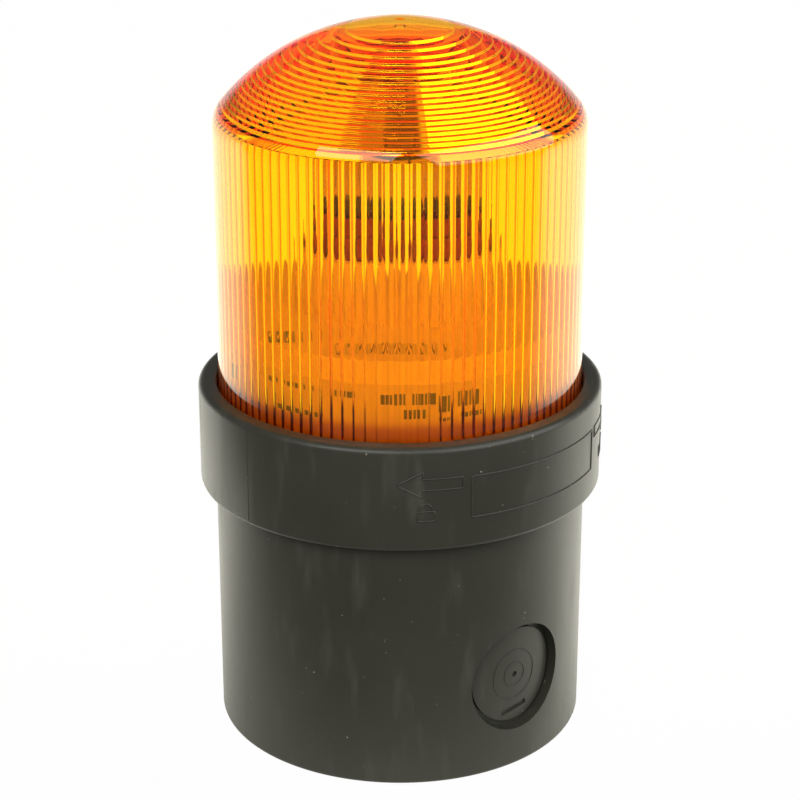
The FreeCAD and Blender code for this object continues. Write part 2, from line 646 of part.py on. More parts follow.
def lampholder_shell():
    """Metal socket with a foot and two hooked slots for the lamp's pins."""
    body = new_body("lampholder_shell")
    foot = f"{BOSS_BORE} + shell_flange"
    turned(body, "socket", (
        (SHELL_BORE, SHELL_FLOOR), (foot, SHELL_FLOOR), (foot, PLATE_FLOOR), (SHELL, PLATE_FLOOR),
        (SHELL, SHELL_TOP), (SHELL_BORE, SHELL_TOP),
    ))
    slot_angle = f"(2 * asin((pin_radius + running_gap) / {SHELL_BORE}) / 1deg)"
    slot_floor = f"({PIN_AXIS} - push_travel - pin_radius - running_gap)"
    slot_roof = f"({PIN_AXIS} - push_travel + pin_radius + running_gap)"
    inside, outside = f"{SHELL_BORE} - shell_wall", f"{SHELL} + shell_wall"

    def slot(name, low, high, angle, turn):
        corners = ((inside, low), (outside, low), (outside, high), (inside, high))
        return turned(body, name, corners, angle=angle, place={"TurnY": turn}, cut=True)

    rest = slot("rest_notch", slot_floor, f"{PIN_AXIS} + pin_radius + running_gap", slot_angle, "0")
    cross = slot("cross_slot", slot_floor, slot_roof, f"twist_angle + {slot_angle}", "twist_angle / 2")
    entry = slot("entry_slot", slot_floor, f"{SHELL_TOP} + shell_wall", slot_angle, "twist_angle")
    around(body, "hooked_slots", [rest, cross, entry], "2")
    return body


def contact_insulator():
    """Moulded block under the socket that guides the two contact pins."""
    body = new_body("contact_insulator")
    neck = f"{SHELL_BORE} - running_gap"
    turned(body, "insulator_block", (
        ("0", INSULATOR_FLOOR), ("insulator_radius", INSULATOR_FLOOR), ("insulator_radius", SHELL_FLOOR),
        (neck, SHELL_FLOOR), (neck, INSULATOR_TOP), ("0", INSULATOR_TOP),
    ))
    ear_place = {"z": f"{EAR_TOP} - ear_thickness"}
    half = "ear_round"
    arm = raised(body, "ear_arm", outline(body, "ear_arm_outline", (
        ("insulator_radius / 2", f"-{half}"), ("ear_reach", f"-{half}"), ("ear_reach", half),
        ("insulator_radius / 2", half),
    ), "XY_Plane", ear_place), "ear_thickness")
    tip = raised(body, "ear_tip", circles(body, "ear_tip_outline", ("ear_reach", "0"), ["ear_round"],
                                          place=ear_place), "ear_thickness")
    hole = raised(body, "ear_hole", circles(body, "ear_hole_outline", ("ear_reach", "0"),
                                            ["ear_screw + running_gap"], place=ear_place),
                  "2 * ear_thickness", cut=True, back=True)
    around(body, "ears", [arm, tip, hole], "2")

    on_contact = ("0", "contact_offset")
    low = {"z": INSULATOR_FLOOR}
    bore = raised(body, "spring_bore", circles(body, "spring_bore_outline", on_contact,
                                               ["plunger_collar + plunger_bore_gap"], place=low),
                  f"{PLUNGER_ROOF} - {INSULATOR_FLOOR}", cut=True, back=True)
    guide = raised(body, "pin_guide", circles(body, "pin_guide_outline", on_contact,
                                              ["plunger_radius + plunger_bore_gap"], place=low),
                   f"2 * ({INSULATOR_TOP} - {INSULATOR_FLOOR})", cut=True, back=True)
    around(body, "contact_bores", [bore, guide], "2")
    return body


def holder_screws():
    """Two screws that hold the contact block against the carrier's posts."""
    screws = []
    ear_floor = f"({EAR_TOP} - ear_thickness)"
    for side, sign in (("left", "-"), ("right", "")):
        across = sign + "ear_reach"
        head = rod(f"holder_screw_head_{side}", "ear_screw_head", "screw_head_height",
                   (across, "0", f"{ear_floor} - screw_head_height"))
        shank = rod(f"holder_screw_shank_{side}", "ear_screw", "ear_screw_length", (across, "0", ear_floor))
        screws.append(joined(f"holder_screw_{side}", "Part::MultiFuse", [head, shank]))
    return joined("holder_screws", "Part::Compound", screws)


def contact_plungers():
    """Two spring-loaded pins with collars, under the lamp's contacts."""
    pins = []
    for side, sign in (("front", "-"), ("rear", "")):
        along = sign + "contact_offset"
        shaft = rod(f"plunger_shaft_{side}", "plunger_radius", f"{PLUNGER_TIP} - {COLLAR_FLOOR}",
                    ("0", along, COLLAR_FLOOR))
        collar = rod(f"plunger_collar_{side}", "plunger_collar", "plunger_collar_height",
                     ("0", along, COLLAR_FLOOR))
        pins.append(joined(f"plunger_{side}", "Part::MultiFuse", [shaft, collar]))
    return joined("contact_plungers", "Part::Compound", pins)


def contact_springs():
    """Two springs between the strips and the contact pins, as sleeves of the coil's size."""
    springs = []
    rise = f"{COLLAR_FLOOR} - {INSULATOR_FLOOR}"
    for side, sign in (("front", "-"), ("rear", "")):
        place = ("0", sign + "contact_offset", INSULATOR_FLOOR)
        outside = rod(f"spring_outside_{side}", "plunger_collar", rise, place)
        inside = rod(f"spring_inside_{side}", "plunger_collar - spring_wire", rise, place)
        springs.append(joined(f"spring_{side}", "Part::Cut", (outside, inside)))
    return joined("contact_springs", "Part::Compound", springs)


def contact_strips():
    """Two brass strips from under the springs to the terminals."""
    strips = []
    half = "strip_width / 2"
    for side, sign, start in (("left", "-", "-contact_offset"), ("right", "", "contact_offset")):
        across = sign + "terminal_offset"
        far = f"{TERMINAL_AXIS} + clamp_size / 2"
        body = new_body(f"contact_strip_{side}")
        edges = (f"{across} - {half}", f"{across} + {half}")
        inner, outer = sorted(edges, key=lambda edge: abs(value(edge)))
        tip = half if sign else f"-({half})"
        corners = ((tip, f"{start} - {half}"), (outer, f"{start} - {half}"), (outer, far), (inner, far),
                   (inner, f"{start} + {half}"), (tip, f"{start} + {half}"))
        raised(body, f"strip_{side}", outline(body, f"strip_outline_{side}", corners, "XY_Plane",
                                              {"z": STRIP_FLOOR}), "strip_thickness")
        body.Tip = raised(body, f"strip_hole_{side}", circles(
            body, f"strip_hole_outline_{side}", (across, TERMINAL_AXIS), ["terminal_screw + running_gap"],
            place={"z": STRIP_FLOOR}), "2 * strip_thickness", cut=True, back=True)
        strips.append(body)
    return joined("contact_strips", "Part::Compound", strips)


def terminal_block():
    """Moulded block under the carrier's top that holds the two threaded inserts."""
    body = new_body("terminal_block")
    half = "terminal_width / 2"
    front, back = TERMINAL_FRONT, TERMINAL_BACK
    raised(body, "terminal_body", outline(body, "terminal_outline", (
        (f"-{half}", front), (half, front), (half, back), (f"-{half}", back),
    ), "XY_Plane", {"z": INSULATOR_FLOOR}), f"{PLATE_FLOOR} - {INSULATOR_FLOOR}")
    for side, sign in (("left", "-"), ("right", "")):
        seat = circles(body, f"insert_seat_outline_{side}", (sign + "terminal_offset", TERMINAL_AXIS),
                       ["insert_radius + seat_gap"], place={"z": INSULATOR_FLOOR})
        body.Tip = raised(body, f"insert_seat_{side}", seat, "insert_height", cut=True, back=True)
    rib = "terminal_divider / 2"
    body.Tip = raised(body, "divider", outline(body, "divider_outline", (
        (f"-{rib}", front), (rib, front), (rib, back), (f"-{rib}", back),
    ), "XY_Plane", {"z": INSULATOR_FLOOR}), "terminal_divider_drop", back=True)
    return body


def terminal_pieces(label, make):
    """Make the same piece for both terminals and group the two."""
    pair = [make(side, sign + "terminal_offset") for side, sign in (("left", "-"), ("right", ""))]
    return joined(label, "Part::Compound", pair)


def terminal_inserts():
    """Threaded brass inserts."""
    def insert(side, across):
        place = (across, TERMINAL_AXIS, INSULATOR_FLOOR)
        outside = rod(f"insert_outside_{side}", "insert_radius", "insert_height", place)
        thread = rod(f"insert_thread_{side}", "terminal_screw + seat_gap", "insert_height", place)
        return joined(f"insert_{side}", "Part::Cut", (outside, thread))
    return terminal_pieces("terminal_inserts", insert)


def wire_clamps():
    """Square plates that press a wire on to its strip."""
    def clamp(side, across):
        half = "clamp_size / 2"
        plate = block(f"clamp_plate_{side}", ("clamp_size", "clamp_size", "clamp_thickness"),
                      (f"{across} - {half}", f"{TERMINAL_AXIS} - {half}", CLAMP_FLOOR))
        hole = rod(f"clamp_hole_{side}", "terminal_screw + running_gap", "clamp_thickness",
                   (across, TERMINAL_AXIS, CLAMP_FLOOR))
        return joined(f"clamp_{side}", "Part::Cut", (plate, hole))
    return terminal_pieces("wire_clamps", clamp)


def terminal_screws():
    """Slotted screws that tighten the wire clamps."""
    def screw(side, across):
        head = rod(f"terminal_head_{side}", "terminal_head", "screw_head_height",
                   (across, TERMINAL_AXIS, f"{CLAMP_FLOOR} - screw_head_height"))
        shank = rod(f"terminal_shank_{side}", "terminal_screw", "terminal_screw_length",
                    (across, TERMINAL_AXIS, CLAMP_FLOOR))
        return joined(f"terminal_screw_{side}", "Part::MultiFuse", [head, shank])
    return terminal_pieces("terminal_screws", screw)


def lamp_cap():
    """Thin metal tube with two bayonet pins."""
    body = new_body("lamp_cap")
    inside = "(cap_radius - cap_wall)"
    turned(body, "cap_tube", ((inside, LAMP_FOOT), ("cap_radius", LAMP_FOOT), ("cap_radius", CAP_TOP),
                              (inside, CAP_TOP)))
    pin = raised(body, "bayonet_pin", circles(body, "bayonet_pin_outline", ("0", PIN_AXIS), ["pin_radius"],
                                              "YZ_Plane", {"z": "cap_radius - cap_wall"}),
                 "cap_wall + pin_reach")
    around(body, "bayonet_pins", [pin], "2")
    return body


def cap_insulator():
    """Insulating disc that closes the foot of the lamp."""
    disc = rod("cap_insulator", "cap_radius - cap_wall - seat_gap", "cap_disc", ("0", "0", LAMP_FOOT))
    disc.Label = "cap_insulator"
    return disc


def lamp_contacts():
    """Solder contacts under the lamp."""
    pads = [rod(f"lamp_contact_{side}", "pad_radius", "pad_height", ("0", sign + "contact_offset", PAD_FLOOR))
            for side, sign in (("front", "-"), ("rear", ""))]
    return joined("lamp_contacts", "Part::Compound", pads)


def lamp_bulb():
    """Thin glass bulb with a neck in the cap and a round top."""
    foot, cap_top = value(BULB_FOOT), value(CAP_TOP)
    neck = value("cap_radius - cap_wall - 2 * seat_gap")
    radius, wall = value("bulb_radius"), value("bulb_wall")
    full = cap_top + value("bulb_flare")
    top = cap_top + value("bulb_height")
    crown = top - radius
    diagonal = math.sqrt(0.5)
    inner = radius - wall
    edges = chain([flat(neck - wall, foot), flat(neck, foot), flat(neck, cap_top), flat(radius, full),
                   flat(radius, crown)])
    edges.append(Part.Arc(flat(radius, crown), flat(radius * diagonal, crown + radius * diagonal),
                          flat(0, top)).toShape())
    edges += chain([flat(0, top), flat(0, top - wall)])
    edges.append(Part.Arc(flat(0, top - wall), flat(inner * diagonal, crown + inner * diagonal),
                          flat(inner, crown)).toShape())
    edges += chain([flat(inner, crown), flat(inner, full), flat(neck - wall, cap_top),
                    flat(neck - wall, foot)])
    bulb = spun("lamp_bulb", edges)
    bulb.Label = "lamp_bulb"
    return bulb


def lamp_stem():
    """Flared glass stem that carries the leads."""
    body = new_body("lamp_stem")
    foot = "(cap_radius - cap_wall - bulb_wall - 3 * seat_gap)"
    turned(body, "stem", (
        ("0", BULB_FOOT), (foot, BULB_FOOT), (foot, f"{BULB_FOOT} + stem_foot"),
        ("stem_radius", f"{BULB_FOOT} + stem_height / 2"), ("lead_root + 2 * lead_radius", STEM_TOP),
        ("0", STEM_TOP),
    ))
    return body


def filament_leads():
    """Two leads that splay from the stem to the filament's ends."""
    leads = []
    spread = "(filament_length / 2 - lead_root)"
    for sign in (-1, 1):
        name = "lead_left" if sign < 0 else "lead_right"
        lead = doc.addObject("Part::Cylinder", name)
        lead.setExpression("Radius", bound("lead_radius"))
        lead.setExpression("Height", bound(f"sqrt({spread} ^ 2 + lead_height ^ 2)"))
        lead.Placement.Rotation = FreeCAD.Rotation(FreeCAD.Vector(0, sign, 0), 1)
        lead.setExpression("Placement.Rotation.Angle", bound(f"atan({spread} / lead_height)"))
        lead.setExpression("Placement.Base.x", bound(f"{sign} * lead_root"))
        lead.setExpression("Placement.Base.z", bound(f"{STEM_TOP} + 2 * seat_gap"))
        leads.append(lead)
    return joined("filament_leads", "Part::Compound", leads)


def filament():
    """Outer cylinder of the coiled filament, across the tops of the leads."""
    coil = doc.addObject("Part::Cylinder", "filament")
    coil.Label = "filament"
    coil.Placement.Rotation = FreeCAD.Rotation(FreeCAD.Vector(0, 1, 0), 90)
    coil.setExpression("Radius", bound("filament_radius"))
    coil.setExpression("Height", bound("filament_length"))
    coil.setExpression("Placement.Base.x", bound("-filament_length / 2"))
    coil.setExpression("Placement.Base.z", bound(f"{FILAMENT_AXIS} + filament_radius + 4 * seat_gap"))
    return coil


SUB_PARTS = [make() for make in (
    base_housing, base_gasket, locking_ring, lens_seal, lens, lamp_carrier, lampholder_shell,
    contact_insulator, holder_screws, contact_plungers, contact_springs, contact_strips,
    terminal_block, terminal_inserts, wire_clamps, terminal_screws, lamp_cap, cap_insulator,
    lamp_contacts, lamp_bulb, lamp_stem, filament_leads, filament,
)]
doc.recompute()

for item in doc.Objects:
    if {"Invalid", "Error"} & set(item.State):
        raise RuntimeError(f"{item.Label} failed: {item.State}")
for part in SUB_PARTS:
    if part.Shape.isNull() or not part.Shape.isValid():
        raise RuntimeError(f"{part.Label} has no valid shape")

os.makedirs("parts", exist_ok=True)
for part in SUB_PARTS:
    part.Shape.exportStep(f"parts/{part.Label}.step")
    solids = part.Shape.Solids
    print(part.Label, len(solids), "solids", round(sum(solid.Volume for solid in solids), 2), "mm3")
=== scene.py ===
import json
import math

import bmesh
import bpy
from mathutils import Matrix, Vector


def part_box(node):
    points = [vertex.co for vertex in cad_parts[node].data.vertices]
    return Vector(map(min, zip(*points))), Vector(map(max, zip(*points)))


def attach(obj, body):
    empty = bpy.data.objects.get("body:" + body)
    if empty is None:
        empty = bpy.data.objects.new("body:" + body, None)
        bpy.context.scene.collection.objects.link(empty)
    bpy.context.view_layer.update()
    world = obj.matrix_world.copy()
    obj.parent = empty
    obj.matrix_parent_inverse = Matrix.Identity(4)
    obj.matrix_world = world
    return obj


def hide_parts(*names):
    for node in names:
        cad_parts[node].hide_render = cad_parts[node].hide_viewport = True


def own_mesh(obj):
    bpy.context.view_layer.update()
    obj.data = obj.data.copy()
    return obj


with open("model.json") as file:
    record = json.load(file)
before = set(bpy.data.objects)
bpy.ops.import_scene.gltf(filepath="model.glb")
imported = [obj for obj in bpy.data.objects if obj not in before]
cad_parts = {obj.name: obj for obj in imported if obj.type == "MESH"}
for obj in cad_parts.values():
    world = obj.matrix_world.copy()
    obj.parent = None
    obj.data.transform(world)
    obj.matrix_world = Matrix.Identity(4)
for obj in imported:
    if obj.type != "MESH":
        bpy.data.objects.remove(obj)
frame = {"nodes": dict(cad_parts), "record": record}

bl_info = {
    "name": "Signal Beacon",
    "version": (1, 0, 0),
    "blender": (4, 5, 0),
    "location": "View3D > Sidebar > Beacon",
    "description": "Dresses the packed solids of an amber signal beacon",
    "category": "Object",
}

MM = 0.001
TURN = 2 * math.pi
SLOTS = {part["node"]: part["material_slot"] for part in frame["record"]["subparts"]}
BODY_OF = {node: body for body, nodes in frame["record"]["behaviour"]["bodies"].items() for node in nodes}

# Rows of plain printed bars: first, last, count, low, high, filled share. First and last are degrees on the
# drum's wall and millimetres on its top, and low and high are millimetres.
WALL_PRINT = (
    (-75.0, -60.5, 4, 68.6, 69.6, 0.5),
    (-69.0, -64.0, 2, 71.8, 74.6, 0.5),
    (-47.0, -27.5, 7, 75.0, 75.9, 0.55),
    (-43.0, -25.0, 5, 70.3, 71.2, 0.45),
    (-21.6, -14.5, 3, 74.8, 75.9, 0.6),
    (-6.0, -1.6, 2, 73.9, 75.7, 0.7),
    (-1.0, 12.0, 6, 73.8, 75.9, 0.6),
    (1.4, 9.2, 3, 71.2, 72.9, 0.6),
    (13.0, 17.4, 2, 72.2, 75.2, 0.7),
    (13.4, 17.9, 3, 70.5, 71.1, 0.6),
    (18.4, 26.4, 4, 73.0, 75.8, 0.6),
    (20.7, 28.2, 4, 70.9, 71.8, 0.6),
)
TOP_PRINT = (
    (-21.0, -15.2, 4, -18.0, -12.4, 0.62),
    (-9.4, 6.6, 9, -24.4, -19.0, 0.3),
)

# Heights in millimetres over which the lens changes colour: above its foot, where a painted shade of the
# mirrored dark ring ends, into the dome, at its plain top.
FOOT_TINT_AND_SHADE_BAND = (69.6, 71.4)
DOME_BAND = (114.0, 120.0)
EYE_BAND = (133.0, 134.5)

# Bearings in degrees from the front, with the right above zero, over which the dark left of the camera and
# the dark at the camera begin and end.
NEAR_DARK = ((-42, -36), (-13, -9))
CAMERA_DARK = ((-13, -9), (12, 16))

# Lamps: place, aim, width and height in metres, and whether they show in reflections.
LAMPS = {
    "side": ((0.53, -0.28, 0.406), (0.0, 0.0, 0.1), (1.2, 0.57), True),
    "front": ((-0.32, -0.60, 0.54), (0.0, 0.0, 0.1), (0.66, 0.39), True),
    "fill": ((-0.1, -0.64, 0.56), (0.0, 0.0, 0.08), (0.34, 0.34), False),
}

# Finishes that follow one noise: darker and lighter colour, scale, detail, roughness, its spread, metallic.
FINISHES = {
    "rubber": ((0.012, 0.012, 0.012), (0.022, 0.022, 0.021), 1200.0, 2.0, 0.65, 0.2, 0.0),
    "brown_phenolic": ((0.05, 0.025, 0.015), (0.11, 0.055, 0.03), 800.0, 4.0, 0.4, 0.1, 0.0),
    "black_glass": ((0.012, 0.012, 0.013), (0.025, 0.024, 0.026), 300.0, 2.0, 0.08, 0.1, 0.0),
    "print_ink": ((0.10, 0.09, 0.08), (0.20, 0.18, 0.15), 2500.0, 2.0, 0.6, 0.1, 0.0),
    # The nickel's red-brown is painted light: the red glow trapped in the amber lens, laid on the lamp
    # holder and cap.
    "nickel": ((0.26, 0.055, 0.015), (0.38, 0.085, 0.03), 300.0, 4.0, 0.5, 0.15, 1.0),
    "steel": ((0.45, 0.45, 0.46), (0.6, 0.6, 0.6), 300.0, 4.0, 0.28, 0.15, 1.0),
    "brass": ((0.60, 0.40, 0.14), (0.78, 0.56, 0.24), 300.0, 4.0, 0.25, 0.15, 1.0),
    "solder": ((0.5, 0.5, 0.51), (0.68, 0.68, 0.69), 300.0, 4.0, 0.4, 0.15, 1.0),
    "lead_wire": ((0.30, 0.29, 0.28), (0.48, 0.46, 0.44), 300.0, 4.0, 0.35, 0.15, 1.0),
    "tungsten": ((0.14, 0.14, 0.15), (0.28, 0.28, 0.29), 300.0, 4.0, 0.4, 0.15, 1.0),
}

# Nodes that keep the shape of their solid on the outside of the beacon.
OUTER_NODES = ("base_housing", "locking_ring", "base_gasket", "lens_seal")


class Value:
    """A socket of a node tree that takes part in plain arithmetic."""

    def __init__(self, graph, socket):
        self.graph = graph
        self.socket = socket

    def other(self, name):
        """Another output of the same node."""
        return Value(self.graph, self.socket.node.outputs[name])

    def __add__(self, term):
        return self.graph.math("ADD", self, term)

    def __radd__(self, term):
        return self.graph.math("ADD", term, self)

    def __sub__(self, term):
        return self.graph.math("SUBTRACT", self, term)

    def __rsub__(self, term):
        return self.graph.math("SUBTRACT", term, self)

    def __mul__(self, term):
        return self.graph.math("MULTIPLY", self, term)

    def __rmul__(self, term):
        return self.graph.math("MULTIPLY", term, self)

    def __pow__(self, term):
        return self.graph.math("POWER", self, term)

    def __gt__(self, term):
        return self.graph.math("GREATER_THAN", self, term)


class Graph:
    """A node tree written as expressions on values."""

    def __init__(self, tree):
        self.tree = tree

    def node(self, kind, settings=None, sockets=None, out=0):
        """Add a node, set it up, fill its sockets with numbers or values and return one output."""
        made = self.tree.nodes.new(kind)
        for name, setting in (settings or {}).items():
            setattr(made, name, setting)
        for name, term in (sockets or {}).items():
            self.fill(made.inputs[name], term)
        return Value(self, made.outputs[out]) if len(made.outputs) else made

    def fill(self, socket, term):
        if isinstance(term, Value):
            self.tree.links.new(term.socket, socket)
        else:
            socket.default_value = term

    def math(self, operation, *terms):
        return self.node("ShaderNodeMath", {"operation": operation}, dict(enumerate(terms)))

    def mix(self, share, low, high):
        """A colour between two colours."""
        return self.node("ShaderNodeMix", {"data_type": "RGBA"}, {0: share, 6: low, 7: high}, out=2)

    def noise(self, place, scale, detail=2.0):
        return self.node("ShaderNodeTexNoise", {}, {"Vector": place, "Scale": scale, "Detail": detail})

    def rise(self, value, low, high):
        """0 below low, 1 above high and smooth between."""
        return self.node("ShaderNodeMapRange", {"interpolation_type": "SMOOTHSTEP"},
                         {"Value": value, "From Min": low, "From Max": high})


def colour(*rgb):
    return (*rgb, 1.0)


def new_material(name):
    material = bpy.data.materials.new(name)
    material.use_nodes = True
    material.node_tree.nodes.clear()
    return material, Graph(material.node_tree)


def finished(graph, sockets, volume=None):
    """Close a material with a Principled shader."""
    surface = graph.node("ShaderNodeBsdfPrincipled", {}, sockets)
    ends = {"Surface": surface}
    if volume:
        ends["Volume"] = volume
    graph.node("ShaderNodeOutputMaterial", {}, ends)


def object_place(graph):
    return graph.node("ShaderNodeTexCoord", out="Object")


def bumped(graph, height, depth, strength):
    return graph.node("ShaderNodeBump", {}, {"Height": height, "Distance": depth, "Strength": strength})


def black_plastic():
    """Satin moulded plastic with a fine grain, faint upright scuffs and a few specks of dust."""
    material, graph = new_material("black_plastic")
    place = object_place(graph)
    cloud = graph.noise(place, 60.0, 3.0)
    grain = graph.noise(place, 3200.0)
    dust = graph.noise(place, 1300.0, 1.0) > 0.80
    drawn = graph.node("ShaderNodeMapping", {}, {"Vector": place, "Scale": (1.0, 1.0, 0.2)})
    scuff = graph.rise(graph.noise(drawn, 300.0, 6.0), 0.52, 0.85)
    body = graph.mix(cloud, colour(0.012, 0.012, 0.008), colour(0.019, 0.019, 0.013))
    rubbed = graph.mix(scuff * 0.4, body, colour(0.05, 0.05, 0.038))
    finished(graph, {
        "Base Color": graph.mix(dust * 0.45, rubbed, colour(0.30, 0.29, 0.22)),
        "Roughness": 0.33 + 0.12 * grain + 0.10 * scuff,
        "Normal": bumped(graph, grain, 0.012 * MM, 0.5),
    })
    return material


def amber_lens():
    """Clear amber plastic, deeper in colour where it is thick in the dome, and darker at its foot, partly
    from the thick foot and partly painted shade where the wall mirrors the dark ring.
    """
    material, graph = new_material("amber_lens")
    place = object_place(graph)
    ripple = graph.noise(place, 90.0)
    height = graph.node("ShaderNodeSeparateXYZ", {}, {"Vector": place}, out="Z")

    def above(band):
        return graph.rise(height, band[0] * MM, band[1] * MM)

    # Darker below the foot band: partly the deeper tint of the thick foot, partly painted shade where the
    # outer wall mirrors the dark ring instead of the white room.
    foot = 1.0 - above(FOOT_TINT_AND_SHADE_BAND)
    dome = above(DOME_BAND) - above(EYE_BAND)
    dome_share = 0.45
    upper = graph.mix(dome_share * dome, colour(0.98, 0.74, 0.20), colour(0.92, 0.50, 0.10))
    look = bpy.context.scene.beacon_lens
    depth = graph.node("ShaderNodeVolumeAbsorption", {},
                       {"Color": colour(*look.tint), "Density": look.density})
    finished(graph, {
        # Foot colour: painted shade of the mirrored dark ring over the deeper tint of the thick foot.
        "Base Color": graph.mix(foot, upper, colour(0.72, 0.40, 0.16)),
        "Roughness": 0.01 * ripple,
        "IOR": 1.5,
        "Transmission Weight": 1.0,
    }, depth)
    return material


def white_plastic():
    """Satin moulded plastic in a warm white."""
    material, graph = new_material("white_plastic")
    place = object_place(graph)
    cloud = graph.noise(place, 40.0)
    finished(graph, {
        "Base Color": graph.mix(cloud, colour(0.74, 0.47, 0.27), colour(0.78, 0.51, 0.30)),
        "Roughness": 0.38 + 0.1 * graph.noise(place, 900.0),
    })
    return material


def clear_glass():
    """Thin clear glass with a smoky film."""
    material, graph = new_material("clear_glass")
    ripple = graph.noise(object_place(graph), 150.0)
    finished(graph, {
        "Base Color": colour(0.64, 0.50, 0.36),
        "Roughness": 0.02 * ripple,
        "IOR": 1.47,
        "Transmission Weight": 1.0,
    })
    return material


def plain_finish(name, low, high, scale, detail, roughness, spread, metallic):
    """A finish whose colour and roughness follow one noise."""
    material, graph = new_material(name)
    wear = graph.noise(object_place(graph), scale, detail)
    finished(graph, {
        "Base Color": graph.mix(wear, colour(*low), colour(*high)),
        "Metallic": metallic,
        "Roughness": roughness + spread * wear,
    })
    return material


MAKERS = {
    "black_plastic": black_plastic,
    "amber_lens": amber_lens,
    "white_plastic": white_plastic,
    "clear_glass": clear_glass,
}


def material_of(name):
    """The finish of that name, made when it is first asked for."""
    found = bpy.data.materials.get(name)
    if found and found.get("beacon"):
        return found
    if found:
        found.name = name + "_packed"
    material = MAKERS[name]() if name in MAKERS else plain_finish(name, *FINISHES[name])
    material["beacon"] = True
    return material


def new_piece(name, mesh):
    piece = bpy.data.objects.new(name, mesh)
    bpy.context.scene.collection.objects.link(piece)
    return piece


def settle(piece, body, stands_for=()):
    """Hand a finished piece to its CAD body."""
    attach(piece, body)
    if stands_for:
        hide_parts(*stands_for)
    return piece


def smooth_skin(node, crease=math.radians(28)):
    """A merged copy of a CAD node's mesh, shaded smooth up to its edges."""
    mesh = frame["nodes"][node].data.copy()
    body = bmesh.new()
    body.from_mesh(mesh)
    bmesh.ops.remove_doubles(body, verts=body.verts, dist=0.001 * MM)
    for face in body.faces:
        face.smooth = True
    for edge in body.edges:
        edge.smooth = len(edge.link_faces) == 2 and edge.calc_face_angle() < crease
    body.to_mesh(mesh)
    body.free()
    for layer in [item.name for item in mesh.attributes if item.name == "custom_normal"]:
        mesh.attributes.remove(mesh.attributes[layer])
    mesh.materials.clear()
    mesh.materials.append(material_of(SLOTS[node]))
    piece = new_piece(node + "_skin", mesh)
    return settle(piece, BODY_OF[node], [node])


def new_tree(name, inputs):
    """An empty geometry tree with named inputs, its graph and their values."""
    tree = bpy.data.node_groups.new(name, "GeometryNodeTree")
    tree.interface.new_socket("Geometry", in_out="OUTPUT", socket_type="NodeSocketGeometry")
    tree.interface.new_socket("Geometry", in_out="INPUT", socket_type="NodeSocketGeometry")
    for label, kind in inputs.items():
        tree.interface.new_socket(label, in_out="INPUT", socket_type=kind)
    graph = Graph(tree)
    source = tree.nodes.new("NodeGroupInput")
    values = {socket.name: Value(graph, socket) for socket in source.outputs if socket.name}
    return graph, values


def end_tree(graph, geometry, material, crease):
    """Close a tree: smooth faces with sharp creases, real geometry, one material."""
    whole = graph.node("GeometryNodeSetShadeSmooth", {"domain": "FACE"},
                       {"Geometry": geometry, "Shade Smooth": True})
    sharp = graph.node("GeometryNodeInputMeshEdgeAngle") > crease
    edged = graph.node("GeometryNodeSetShadeSmooth", {"domain": "EDGE"},
                       {"Geometry": whole, "Selection": sharp, "Shade Smooth": False})
    real = graph.node("GeometryNodeRealizeInstances", {}, {"Geometry": edged})
    dressed = graph.node("GeometryNodeSetMaterial", {}, {"Geometry": real, "Material": material})
    graph.node("NodeGroupOutput", {}, {"Geometry": dressed})


def grown(name, mesh, graph, geometry, numbers, material, crease=math.radians(30)):
    """Run a tree on a mesh and keep the result as a plain mesh."""
    tree = graph.tree
    end_tree(graph, geometry, material, crease)
    piece = new_piece(name, mesh)
    modifier = piece.modifiers.new(name, "NODES")
    modifier.node_group = tree
    for item in tree.interface.items_tree:
        if item.in_out == "INPUT" and item.name in numbers:
            modifier[item.identifier] = numbers[item.name]
    depsgraph = bpy.context.evaluated_depsgraph_get()
    result = bpy.data.meshes.new_from_object(piece.evaluated_get(depsgraph))
    piece.modifiers.clear()
    piece.data = result
    outward(result)
    return piece


def outward(mesh):
    """Turn a closed mesh's faces outwards."""
    body = bmesh.new()
    body.from_mesh(mesh)
    if body.calc_volume(signed=True) < 0:
        bmesh.ops.reverse_faces(body, faces=body.faces)
    body.to_mesh(mesh)
    body.free()


class BeaconStage(bpy.types.PropertyGroup):
    """Camera, lamps and ground."""

    camera_back: bpy.props.FloatProperty(name="Camera back", description="Camera in front of the axis",
                                         default=0.3998, unit="LENGTH")
    camera_up: bpy.props.FloatProperty(name="Camera up", description="Camera above the ground",
                                       default=0.2171, unit="LENGTH")
    camera_tilt: bpy.props.FloatProperty(name="Camera tilt", description="Camera from straight down",
                                         default=math.radians(68.89), subtype="ANGLE")
    focal_length: bpy.props.FloatProperty(name="Focal length", description="Lens in millimetres",
                                          default=101.9)
    bounces: bpy.props.IntProperty(name="Bounces", description="How far light is followed inside the lens",
                                   default=40)
    sky: bpy.props.FloatProperty(name="Sky", description="Even light from all round", default=0.85)
    room: bpy.props.FloatProperty(name="Room", description="Brightness of the room in gloss", default=0.12)
    tent: bpy.props.FloatProperty(name="Tent", description="Brightness all round, through the lens",
                                  default=1.0)
    near_shade: bpy.props.FloatProperty(name="Near shade", description="How dark it is left of the camera",
                                        default=0.5)
    camera_shade: bpy.props.FloatProperty(name="Camera shade", description="How dark it is at the camera",
                                          default=0.92)
    side_power: bpy.props.FloatProperty(name="Side lamp", description="Large lamp at the front right",
                                        default=5.2, unit="POWER")
    front_power: bpy.props.FloatProperty(name="Front lamp", description="Wide lamp at the front left",
                                         default=3.2, unit="POWER")
    fill_power: bpy.props.FloatProperty(name="Fill lamp", description="Lamp above the camera",
                                        default=6.0, unit="POWER")


